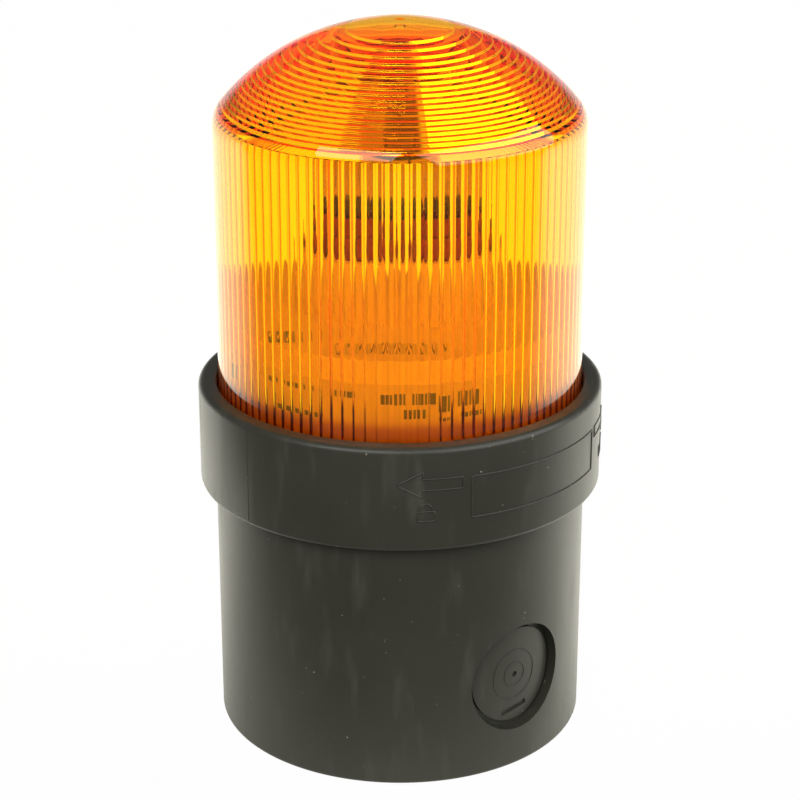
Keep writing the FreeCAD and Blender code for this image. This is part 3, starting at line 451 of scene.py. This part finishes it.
class BeaconLens(bpy.types.PropertyGroup):
    """Shape and colour of the lens."""

    wall_radius: bpy.props.FloatProperty(name="Wall radius", description="Outside of the straight wall",
                                         default=34.1 * MM, unit="LENGTH")
    wall: bpy.props.FloatProperty(name="Wall", description="Thickness in the valleys of the flutes",
                                  default=2.55 * MM, unit="LENGTH")
    wall_top: bpy.props.FloatProperty(name="Wall top", description="Height where the shoulder begins",
                                      default=116.5 * MM, unit="LENGTH")
    flange_thickness: bpy.props.FloatProperty(name="Foot thickness", description="Foot under the ring's lip",
                                              default=2.2 * MM, unit="LENGTH")
    dome_radius: bpy.props.FloatProperty(name="Dome radius", description="Ball shape of the dome",
                                         default=43.3 * MM, unit="LENGTH")
    shoulder: bpy.props.FloatProperty(name="Shoulder", description="Round between wall and dome",
                                      default=6.5 * MM, unit="LENGTH")
    dome_wall: bpy.props.FloatProperty(name="Dome wall", description="Thickness between the ring prisms",
                                       default=2.6 * MM, unit="LENGTH")
    flute_count: bpy.props.IntProperty(name="Flutes", description="Upright flutes inside the wall",
                                       default=100)
    flute_depth: bpy.props.FloatProperty(name="Flute depth", description="Crest above valley",
                                         default=0.45 * MM, unit="LENGTH")
    flute_steps: bpy.props.IntProperty(name="Flute steps", description="Faces across a flute", default=8)
    flute_turn: bpy.props.FloatProperty(name="First crest", description="Crest nearest the right-hand side",
                                        default=math.radians(2.7), subtype="ANGLE")
    flute_top: bpy.props.FloatProperty(name="Flute top", description="Height where the flutes end",
                                       default=117.4 * MM, unit="LENGTH")
    crest_power: bpy.props.FloatProperty(name="Crest power", description="More than 1 sharpens the crests",
                                         default=1.45)
    ring_count: bpy.props.IntProperty(name="Rings", description="Ring prisms inside the dome", default=19)
    ring_lean: bpy.props.FloatProperty(name="Ring lean", description="Lean of the lowest ring prism's faces",
                                       default=math.radians(21.5), subtype="ANGLE")
    ring_blunt: bpy.props.FloatProperty(name="Ring edge", description="Flat on the edges of the ring prisms",
                                        default=0.12 * MM, unit="LENGTH")
    eye: bpy.props.FloatProperty(name="Eye", description="Plain middle of the dome",
                                 default=9.2 * MM, unit="LENGTH")
    flat: bpy.props.FloatProperty(name="Flat", description="Radius of the flat spot at the top",
                                  default=3.5 * MM, unit="LENGTH")
    gate: bpy.props.FloatProperty(name="Gate", description="Radius of the moulding mark at the top",
                                  default=0.9 * MM, unit="LENGTH")
    gate_depth: bpy.props.FloatProperty(name="Gate depth", description="Sink of the moulding mark",
                                        default=0.25 * MM, unit="LENGTH")
    tint: bpy.props.FloatVectorProperty(name="Tint", description="What the plastic lets through",
                                        default=(0.9956, 0.935, 0.2), subtype="COLOR")
    density: bpy.props.FloatProperty(name="Density", description="Strength of the tint per metre",
                                     default=900.0)


class BeaconMarks(bpy.types.PropertyGroup):
    """Raised marks on the ring and the base, print on the drum."""

    line: bpy.props.FloatProperty(name="Line", description="Width of a raised line",
                                  default=0.34 * MM, unit="LENGTH")
    arrow_height: bpy.props.FloatProperty(name="Arrow height", description="Middle of the arrows",
                                          default=61.4 * MM, unit="LENGTH")
    lock_height: bpy.props.FloatProperty(name="Padlock height", description="Foot of the padlock signs",
                                         default=54.5 * MM, unit="LENGTH")
    middle: bpy.props.FloatProperty(name="Middle", description="Middle of the set of marks, along the ring",
                                    default=29.0 * MM, unit="LENGTH")
    parting: bpy.props.FloatProperty(name="Parting line", description="Mould line, along the ring",
                                     default=-30.55 * MM, unit="LENGTH")
    entry_turn: bpy.props.FloatProperty(name="Entry", description="Side entry, right of the front",
                                        default=math.radians(39.5), subtype="ANGLE")
    entry_height: bpy.props.FloatProperty(name="Entry height", description="Middle of the side entry",
                                          default=18.2 * MM, unit="LENGTH")
    entry_face: bpy.props.FloatProperty(name="Entry face", description="Side entry's disc from the axis",
                                        default=33.4 * MM, unit="LENGTH")
    drum_radius: bpy.props.FloatProperty(name="Drum radius", description="Outside of the white drum",
                                         default=30.3 * MM, unit="LENGTH")
    drum_top: bpy.props.FloatProperty(name="Drum top", description="Top of the white drum",
                                      default=81.0 * MM, unit="LENGTH")


def toward(point, target, distance):
    """A point of the section moved towards another one."""
    share = distance / math.dist(point, target)
    return tuple(a + share * (b - a) for a, b in zip(point, target))


def lens_outline(look):
    """The lens section, down its outside and up its inside: radius, height and share of the flutes."""
    low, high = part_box("lens")
    foot, flange = low.z, high.x
    reach = look.wall_radius - look.shoulder
    centre = look.wall_top - math.sqrt((look.dome_radius - look.shoulder) ** 2 - reach ** 2)
    lean = math.asin(reach / (look.dome_radius - look.shoulder))

    def on_dome(turn, sink=0.0):
        size = look.dome_radius - sink
        return (size * math.sin(turn), centre + size * math.cos(turn), 0.0)

    dome_start = math.asin(look.flat / look.dome_radius)
    top = centre + look.dome_radius * math.cos(dome_start)
    points = [(0.0, top - look.gate_depth, 0.0), (look.gate - look.gate_depth, top - look.gate_depth, 0.0),
              (look.gate, top, 0.0)]
    dome_steps, shoulder_steps = 16, 7
    for step in range(dome_steps + 1):
        points.append(on_dome(dome_start + (lean - dome_start) * step / dome_steps))
    for step in range(1, shoulder_steps + 1):
        turn = lean + (math.pi / 2 - lean) * step / shoulder_steps
        along, up = look.shoulder * math.sin(turn), look.shoulder * math.cos(turn)
        points.append((reach + along, look.wall_top + up, 0.0))
    flange_top = foot + look.flange_thickness
    valley = look.wall_radius - look.wall
    bore = valley - look.flute_depth
    points += [(look.wall_radius, flange_top, 0.0), (flange, flange_top, 0.0), (flange, foot, 0.0),
               (valley, foot, 1.0), (valley, look.flute_top, 1.0), (valley, look.flute_top, 0.0),
               (bore, look.flute_top, 0.0)]

    inner = look.dome_radius - look.dome_wall
    rim_turn, eye_turn = math.asin(bore / inner), math.asin(look.eye / inner)
    climb = (math.cos(eye_turn) - math.cos(rim_turn)) / look.ring_count
    turns = [math.acos(math.cos(rim_turn) + climb * ring) for ring in range(look.ring_count + 1)]
    corners = []
    for turn, next_turn in zip(turns, turns[1:]):
        start, end = on_dome(turn, look.dome_wall), on_dome(next_turn, look.dome_wall)
        tilt = look.ring_lean * (turn - eye_turn) / (rim_turn - eye_turn)
        tread = (end[1] - start[1]) * math.sin(tilt) - (end[0] - start[0]) * math.cos(tilt)
        corners += [start, (start[0] - tread * math.cos(tilt), start[1] + tread * math.sin(tilt), 0.0)]
    corners.append(on_dome(eye_turn, look.dome_wall))
    points.append(corners[0])
    for before, corner, after in zip(corners, corners[1:], corners[2:]):
        points += [toward(corner, before, look.ring_blunt / 2), toward(corner, after, look.ring_blunt / 2)]
    points += [on_dome(eye_turn, look.dome_wall), (0.0, centre + inner, 0.0)]
    return points


def lens_tree():
    """Turns a section about the axis and presses flutes into the rows marked for them."""
    graph, given = new_tree("fluted_lens", {
        "Flutes": "NodeSocketInt", "Steps": "NodeSocketInt", "Depth": "NodeSocketFloat",
        "Crest power": "NodeSocketFloat", "First crest": "NodeSocketFloat",
    })
    section = given["Geometry"]
    rows = graph.node("GeometryNodeAttributeDomainSize", {"component": "MESH"}, {"Geometry": section})
    columns = given["Flutes"] * given["Steps"] + 1
    sheet = graph.node("GeometryNodeMeshGrid", {}, {"Size X": 1.0, "Size Y": 1.0, "Vertices X": columns,
                                                    "Vertices Y": rows})
    spot = graph.node("GeometryNodeInputPosition")
    flat = graph.node("ShaderNodeSeparateXYZ", {}, {0: spot})
    turn = (flat + 0.5) * TURN
    row = graph.math("ROUND", (flat.other("Y") + 0.5) * (rows - 1))

    def sampled(kind, value):
        return graph.node("GeometryNodeSampleIndex", {"data_type": kind, "domain": "POINT"},
                          {"Geometry": section, "Value": value, "Index": row})

    place = graph.node("ShaderNodeSeparateXYZ", {}, {0: sampled("FLOAT_VECTOR", spot)})
    mark = graph.node("GeometryNodeInputNamedAttribute", {"data_type": "FLOAT"}, {"Name": "fluted"})
    wave = graph.math("COSINE", (turn - given["First crest"]) * given["Flutes"])
    crest = (0.5 + 0.5 * wave) ** given["Crest power"]
    radius = place - sampled("FLOAT", mark) * given["Depth"] * crest
    target = graph.node("ShaderNodeCombineXYZ", {}, {
        "X": radius * graph.math("COSINE", turn),
        "Y": radius * graph.math("SINE", turn),
        "Z": place.other("Z"),
    })
    moved = graph.node("GeometryNodeSetPosition", {}, {"Geometry": sheet, "Position": target})
    weld = 0.002 * MM
    return graph, graph.node("GeometryNodeMergeByDistance", {}, {"Geometry": moved, "Distance": weld})


def bead_tree():
    """Draws a round bead along the edges of a mesh."""
    graph, given = new_tree("bead", {"Thickness": "NodeSocketFloat", "Sides": "NodeSocketInt"})
    path = graph.node("GeometryNodeMeshToCurve", {}, {"Mesh": given["Geometry"]})
    section = graph.node("GeometryNodeCurvePrimitiveCircle", {}, {"Resolution": given["Sides"],
                                                                  "Radius": given["Thickness"] * 0.5})
    return graph, graph.node("GeometryNodeCurveToMesh", {}, {"Curve": path, "Profile Curve": section,
                                                             "Fill Caps": True})


def beads(name, runs, thickness, finish, sides=6):
    """Round beads along runs of points; a run that ends where it starts is closed."""
    points, edges = [], []
    for run in runs:
        start = len(points)
        closed = run[0] == run[-1]
        points += run[:-1] if closed else run
        count = len(points) - start
        edges += [(start + step, start + step + 1) for step in range(count - 1)]
        if closed:
            edges.append((start + count - 1, start))
    path = bpy.data.meshes.new(name + "_path")
    path.from_pydata(points, edges, [])
    graph, geometry = bead_tree()
    numbers = {"Thickness": thickness, "Sides": sides}
    return grown(name, path, graph, geometry, numbers, material_of(finish), crease=math.radians(70))


def stepped(corners, longest=0.8 * MM):
    """The same run of flat points with its long sides divided."""
    run = [corners[0]]
    for (x0, y0), (x1, y1) in zip(corners, corners[1:]):
        count = max(1, math.ceil(math.dist((x0, y0), (x1, y1)) / longest))
        run += [(x0 + (x1 - x0) * step / count, y0 + (y1 - y0) * step / count) for step in range(1, count)]
        run.append((x1, y1))
    return run


def circle(radius, centre, steps=40):
    """A closed flat circle."""
    turns = [TURN * (step % steps) / steps for step in range(steps + 1)]
    return [(centre[0] + radius * math.cos(turn), centre[1] + radius * math.sin(turn)) for turn in turns]


def on_cylinder(radius, along, up, lift=0.0):
    """A flat point laid round an upright cylinder from its front, and lifted off it."""
    size, turn = radius + lift, along / radius
    return (size * math.sin(turn), -size * math.cos(turn), up)


def wrapped(run, radius):
    """A flat run laid round an upright cylinder."""
    return [on_cylinder(radius, along, up) for along, up in stepped(run)]


def helix(start, end, radius, turns, steps=14):
    """A coil from one point to another."""
    start, end = Vector(start), Vector(end)
    axis = (end - start).normalized()
    side = axis.orthogonal().normalized()
    front = axis.cross(side)
    run = []
    for step in range(turns * steps + 1):
        turn = TURN * step / steps
        place = start.lerp(end, step / (turns * steps))
        run.append(tuple(place + radius * (math.cos(turn) * side + math.sin(turn) * front)))
    return run


def rectangle(left, right, low, high):
    return [(left, low), (right, low), (right, high), (left, high), (left, low)]


def arrow(look):
    """Outline of the left arrow, along the ring."""
    up = look.arrow_height
    tip, back, tail, head, shaft = -0.7 * MM, 4.0 * MM, 11.2 * MM, 2.45 * MM, 1.05 * MM
    return [(tip, up), (back, up + head), (back, up + shaft), (tail, up + shaft), (tail, up - shaft),
            (back, up - shaft), (back, up - head), (tip, up)]


def padlock(look, along, swing):
    """Runs of a padlock sign; its bow hangs free to one side when swung."""
    half, body, bow, rise, bow_steps = 1.5 * MM, 1.8 * MM, 1.0 * MM, 0.5 * MM, 10
    foot = look.lock_height
    centre = along + swing * 2 * bow
    top = foot + body + rise
    arch = [(centre + bow * math.cos(turn), top + bow * math.sin(turn))
            for turn in (math.pi * step / bow_steps for step in range(bow_steps + 1))]
    legs = [(centre + bow, foot + body + (rise if swing > 0 else 0))] + arch
    legs.append((centre - bow, foot + body + (rise if swing < 0 else 0)))
    return [rectangle(along - half, along + half, foot, foot + body), legs]


def slabs(name, bars, bend, finish):
    """Thin flat bars; bend places a point given along, up and above the surface."""
    longest, sunk, proud = 0.5 * MM, -0.1 * MM, 0.05 * MM
    points, faces = [], []
    for left, right, low, high in bars:
        section = ((low, sunk), (high, sunk), (high, proud), (low, proud))
        sides = len(section)
        count = math.ceil((right - left) / longest)
        start = len(points)
        end = start + sides * count
        for step in range(count + 1):
            along = left + (right - left) * step / count
            points += [bend(along, up, lift) for up, lift in section]
        for ring in range(start, end, sides):
            for side in range(sides):
                after = (side + 1) % sides
                faces.append((ring + side, ring + after, ring + sides + after, ring + sides + side))
        faces += [tuple(range(start + sides - 1, start - 1, -1)), tuple(range(end, end + sides))]
    mesh = bpy.data.meshes.new(name)
    mesh.from_pydata(points, [], faces)
    mesh.materials.append(material_of(finish))
    outward(mesh)
    return new_piece(name, mesh)


def row_of_bars(first, last, count, low, high, share):
    """Evenly spaced bars, each filling a share of its pitch."""
    pitch = (last - first) / count
    return [(first + pitch * step, first + pitch * (step + share), low, high) for step in range(count)]


class BEACON_OT_stage(bpy.types.Operator):
    """Set the ground, the lamps and the camera"""

    bl_idname = "beacon.stage"
    bl_label = "Stage"

    def execute(self, context):
        scene = context.scene
        look = scene.beacon_stage
        scene.view_settings.view_transform = "Standard"
        scene.cycles.max_bounces = look.bounces
        scene.cycles.glossy_bounces = look.bounces
        scene.cycles.transmission_bounces = look.bounces
        self.light_tent(scene, look)
        self.ground()
        for name, setting in LAMPS.items():
            self.lamp(name + "_lamp", *setting, getattr(look, name + "_power"))
        view = bpy.data.cameras.new("photo_view")
        view.lens = look.focal_length
        view.sensor_width = 36.0
        view.clip_start = 10 * MM
        camera = bpy.data.objects.new("photo_view", view)
        camera.location = (0.0, -look.camera_back, look.camera_up)
        camera.rotation_euler = (look.camera_tilt, 0.0, 0.0)
        scene.collection.objects.link(camera)
        scene.camera = camera
        return {"FINISHED"}

    @staticmethod
    def light_tent(scene, look):
        """White to the camera, a dim room in gloss, and darker towards the camera through the lens."""
        world = bpy.data.worlds.new("light_tent")
        world.use_nodes = True
        world.node_tree.nodes.clear()
        graph = Graph(world.node_tree)
        path = graph.node("ShaderNodeLightPath", out="Is Camera Ray")
        direction = graph.node("ShaderNodeTexCoord", out="Generated")
        heading = graph.node("ShaderNodeSeparateXYZ", {}, {0: direction})
        bearing = graph.math("ARCTAN2", heading, 0.0 - heading.other("Y"))

        def sector(begin, end):
            first, last = [[math.radians(turn) for turn in edge] for edge in (begin, end)]
            return graph.rise(bearing, *first) - graph.rise(bearing, *last)

        near, camera = sector(*NEAR_DARK), sector(*CAMERA_DARK)
        around = look.tent * (1.0 - look.near_shade * near - look.camera_shade * camera)
        gloss, through = path.other("Is Glossy Ray"), path.other("Is Transmission Ray")
        plain = 1.0 - graph.math("MAXIMUM", gloss, through) - path
        behind = graph.rise(heading.other("Y"), 0.1, 0.6) * (1.0 - graph.rise(heading.other("Z"), 0.0, 0.2))
        mirrored = look.room + (1.0 - look.room) * behind
        strength = path + plain * look.sky + gloss * mirrored + through * around
        tone = graph.mix(through * (near + camera), colour(1.0, 1.0, 1.0), colour(1.0, 0.5, 0.25))
        shade = graph.node("ShaderNodeBackground", {}, {"Color": tone, "Strength": strength})
        graph.node("ShaderNodeOutputWorld", {}, {"Surface": shade})
        scene.world = world

    @staticmethod
    def ground():
        """A wide floor, white to the camera, that glows behind the beacon in gloss and through the lens."""
        mesh = bpy.data.meshes.new("ground")
        reach, drop = 3.0, 0.05 * MM
        front_edge, back_edge = -0.10, 0.05
        front_paper, gloss_drop, white_share = 0.3, 0.2, 0.98
        corners = [(-reach, -reach, 0), (reach, -reach, 0), (reach, reach, 0), (-reach, reach, 0)]
        mesh.from_pydata(corners, [], [(0, 1, 2, 3)])
        material, graph = new_material("white_ground")
        path = graph.node("ShaderNodeLightPath", out="Is Camera Ray")
        flat = graph.node("ShaderNodeSeparateXYZ", {}, {0: object_place(graph)})
        depth = flat.other("Y") + 0.1 * flat - 0.2 * graph.math("ABSOLUTE", flat)
        behind = graph.rise(depth, front_edge, back_edge)
        gloss = path.other("Is Glossy Ray")
        shown = graph.math("MINIMUM", gloss * behind + path.other("Is Transmission Ray"), 1.0)
        pale = graph.math("MAXIMUM", behind, front_paper - gloss_drop * gloss)
        paper = graph.node("ShaderNodeBsdfDiffuse", {}, {
            "Color": graph.mix(pale, colour(0.02, 0.02, 0.018), colour(0.7, 0.69, 0.6))})
        white = graph.node("ShaderNodeEmission", {}, {"Color": colour(1.0, 1.0, 1.0), "Strength": 1.0})
        seen = graph.node("ShaderNodeMixShader", {}, {0: path * white_share, 1: paper, 2: white})
        glow = graph.node("ShaderNodeEmission", {}, {"Color": colour(1.0, 0.98, 0.85), "Strength": shown})
        both = graph.node("ShaderNodeAddShader", {}, {0: seen, 1: glow})
        graph.node("ShaderNodeOutputMaterial", {}, {"Surface": both})
        mesh.materials.append(material)
        floor = new_piece("ground", mesh)
        floor.location.z = -drop

    @staticmethod
    def lamp(name, place, target, size, mirrored, power):
        data = bpy.data.lights.new(name, "AREA")
        data.shape = "RECTANGLE"
        data.size, data.size_y = size
        data.energy = power
        lamp = bpy.data.objects.new(name, data)
        lamp.location = place
        lamp.visible_glossy = mirrored
        lamp.rotation_euler = (Vector(target) - Vector(place)).to_track_quat("-Z", "Y").to_euler()
        bpy.context.scene.collection.objects.link(lamp)


class BEACON_OT_lens(bpy.types.Operator):
    """Make the fluted lens with its ringed dome"""

    bl_idname = "beacon.lens"
    bl_label = "Lens"

    def execute(self, context):
        look = context.scene.beacon_lens
        points = lens_outline(look)
        section = bpy.data.meshes.new("lens_section")
        section.from_pydata([(radius, 0.0, height) for radius, height, _ in points],
                            [(index, index + 1) for index in range(len(points) - 1)], [])
        mark = section.attributes.new("fluted", "FLOAT", "POINT")
        mark.data.foreach_set("value", [fluted for _, _, fluted in points])
        graph, geometry = lens_tree()
        numbers = {"Flutes": look.flute_count, "Steps": look.flute_steps, "Depth": look.flute_depth,
                   "Crest power": look.crest_power, "First crest": look.flute_turn}
        piece = grown("lens_body", section, graph, geometry, numbers, material_of("amber_lens"),
                      crease=math.radians(24))
        settle(piece, "root", ["lens"])
        return {"FINISHED"}


class BEACON_OT_housing(bpy.types.Operator):
    """Finish the base and the locking ring"""

    bl_idname = "beacon.housing"
    bl_label = "Base and ring"

    def execute(self, context):
        for node in OUTER_NODES:
            smooth_skin(node)
        return {"FINISHED"}


class BEACON_OT_marks(bpy.types.Operator):
    """Raise the signs on the ring and the lines on the side entry"""

    bl_idname = "beacon.marks"
    bl_label = "Raised marks"

    def execute(self, context):
        look = context.scene.beacon_marks
        low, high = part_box("locking_ring")
        radius = high.x
        close = arrow(look)
        lock, edge, frame_rise = 4.6 * MM, 12.85 * MM, 0.9 * MM
        signs = [close, [(2 * look.middle - along, up) for along, up in close],
                 rectangle(edge, 2 * look.middle - edge, look.lock_height, look.arrow_height + frame_rise)]
        signs += padlock(look, lock, 0)
        signs += padlock(look, 2 * look.middle - lock, 1)
        piece = beads("ring_signs", [wrapped(run, radius) for run in signs], look.line, "black_plastic")
        settle(piece, "ring")

        seam_foot, seam_head, seam_line = 0.9 * MM, 1.2 * MM, 0.1 * MM
        seam = [(look.parting, low.z + seam_foot), (look.parting, high.z - seam_head)]
        piece = beads("ring_parting_line", [wrapped(seam, radius)], seam_line, "black_plastic")
        settle(piece, "ring")

        middle = (look.entry_turn * look.entry_face, look.entry_height)
        entry_rings, entry_line = (4.9 * MM, 2.4 * MM), 0.26 * MM
        lines = [wrapped(circle(size, middle), look.entry_face) for size in entry_rings]
        settle(beads("entry_lines", lines, entry_line, "black_plastic"), "root")
        return {"FINISHED"}


class BEACON_OT_carrier(bpy.types.Operator):
    """Finish the white drum under the lens and print its marks"""

    bl_idname = "beacon.carrier"
    bl_label = "Lamp carrier"

    def execute(self, context):
        smooth_skin("lamp_carrier")
        look = context.scene.beacon_marks
        radius = look.drum_radius
        degree = radius * math.radians(1)
        bars = []
        for first, last, count, low, high, share in WALL_PRINT:
            bars += row_of_bars(first * degree, last * degree, count, low * MM, high * MM, share)

        def on_wall(along, up, lift):
            return on_cylinder(radius, along, up, lift)

        def on_top(along, up, lift):
            return (along, up, look.drum_top + lift)

        settle(slabs("wall_print", bars, on_wall, "print_ink"), "root")

        bars = []
        for first, last, count, low, high, share in TOP_PRINT:
            bars += row_of_bars(first * MM, last * MM, count, low * MM, high * MM, share)
        settle(slabs("top_print", bars, on_top, "print_ink"), "root")
        return {"FINISHED"}


class BEACON_OT_inside(bpy.types.Operator):
    """Finish the lamp, its holder and the contacts"""

    bl_idname = "beacon.inside"
    bl_label = "Lamp and contacts"

    def execute(self, context):
        done = {*OUTER_NODES, "lens", "lamp_carrier", "contact_springs", "filament"}
        for node in frame["nodes"]:
            if node not in done:
                smooth_skin(node)
        self.springs()
        self.coil()
        return {"FINISHED"}

    @staticmethod
    def springs():
        """Wind the two contact springs at their packed length; nothing shortens them as the lamp is pressed
        down.
        """
        low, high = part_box("contact_springs")
        wire, turns = 0.45 * MM, 8
        radius = high.x - wire / 2
        offset = high.y - high.x
        first, last = low.z + wire / 2, high.z - wire / 2
        coils = [helix((0, across, first), (0, across, last), radius, turns) for across in (-offset, offset)]
        piece = beads("spring_coils", coils, wire, "steel", sides=8)
        settle(piece, "root", ["contact_springs"])
        joints = {joint["name"]: joint for joint in frame["record"]["behaviour"]["joints"]}
        travel = joints["contact_push"]["range_m"][1]
        1 - travel / (high.z - low.z)
        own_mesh(piece)

    @staticmethod
    def coil():
        """Wind the filament between its leads."""
        low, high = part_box("filament")
        wire, turns = 0.12 * MM, 22
        middle = (low.z + high.z) / 2
        run = helix((low.x, 0, middle), (high.x, 0, middle), (high.z - low.z - wire) / 2, turns, steps=10)
        settle(beads("filament_coil", [run], wire, "tungsten"), "lamp", ["filament"])


class BEACON_PT_panel(bpy.types.Panel):
    """Sizes, colours and steps of the beacon"""

    bl_idname = "BEACON_PT_panel"
    bl_label = "Signal Beacon"
    bl_space_type = "VIEW_3D"
    bl_region_type = "UI"
    bl_category = "Beacon"

    def draw(self, context):
        for name in GROUPS:
            box = self.layout.box()
            settings = getattr(context.scene, name)
            for prop in settings.bl_rna.properties:
                if prop.identifier not in ("rna_type", "name"):
                    box.prop(settings, prop.identifier)
        for step in STEPS:
            self.layout.operator(step.bl_idname)


GROUPS = {"beacon_stage": BeaconStage, "beacon_lens": BeaconLens, "beacon_marks": BeaconMarks}
STEPS = (BEACON_OT_stage, BEACON_OT_lens, BEACON_OT_housing, BEACON_OT_marks, BEACON_OT_carrier,
         BEACON_OT_inside)
CLASSES = (*GROUPS.values(), *STEPS, BEACON_PT_panel)


def register():
    for item in CLASSES:
        bpy.utils.register_class(item)
    for name, group in GROUPS.items():
        setattr(bpy.types.Scene, name, bpy.props.PointerProperty(type=group))


def unregister():
    for name in GROUPS:
        delattr(bpy.types.Scene, name)
    for item in reversed(CLASSES):
        bpy.utils.unregister_class(item)


def main():
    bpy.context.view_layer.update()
    register()
    bpy.ops.beacon.stage()
    bpy.ops.beacon.lens()
    bpy.ops.beacon.housing()
    bpy.ops.beacon.marks()
    bpy.ops.beacon.carrier()
    bpy.ops.beacon.inside()


if __name__ == "__main__":
    main()
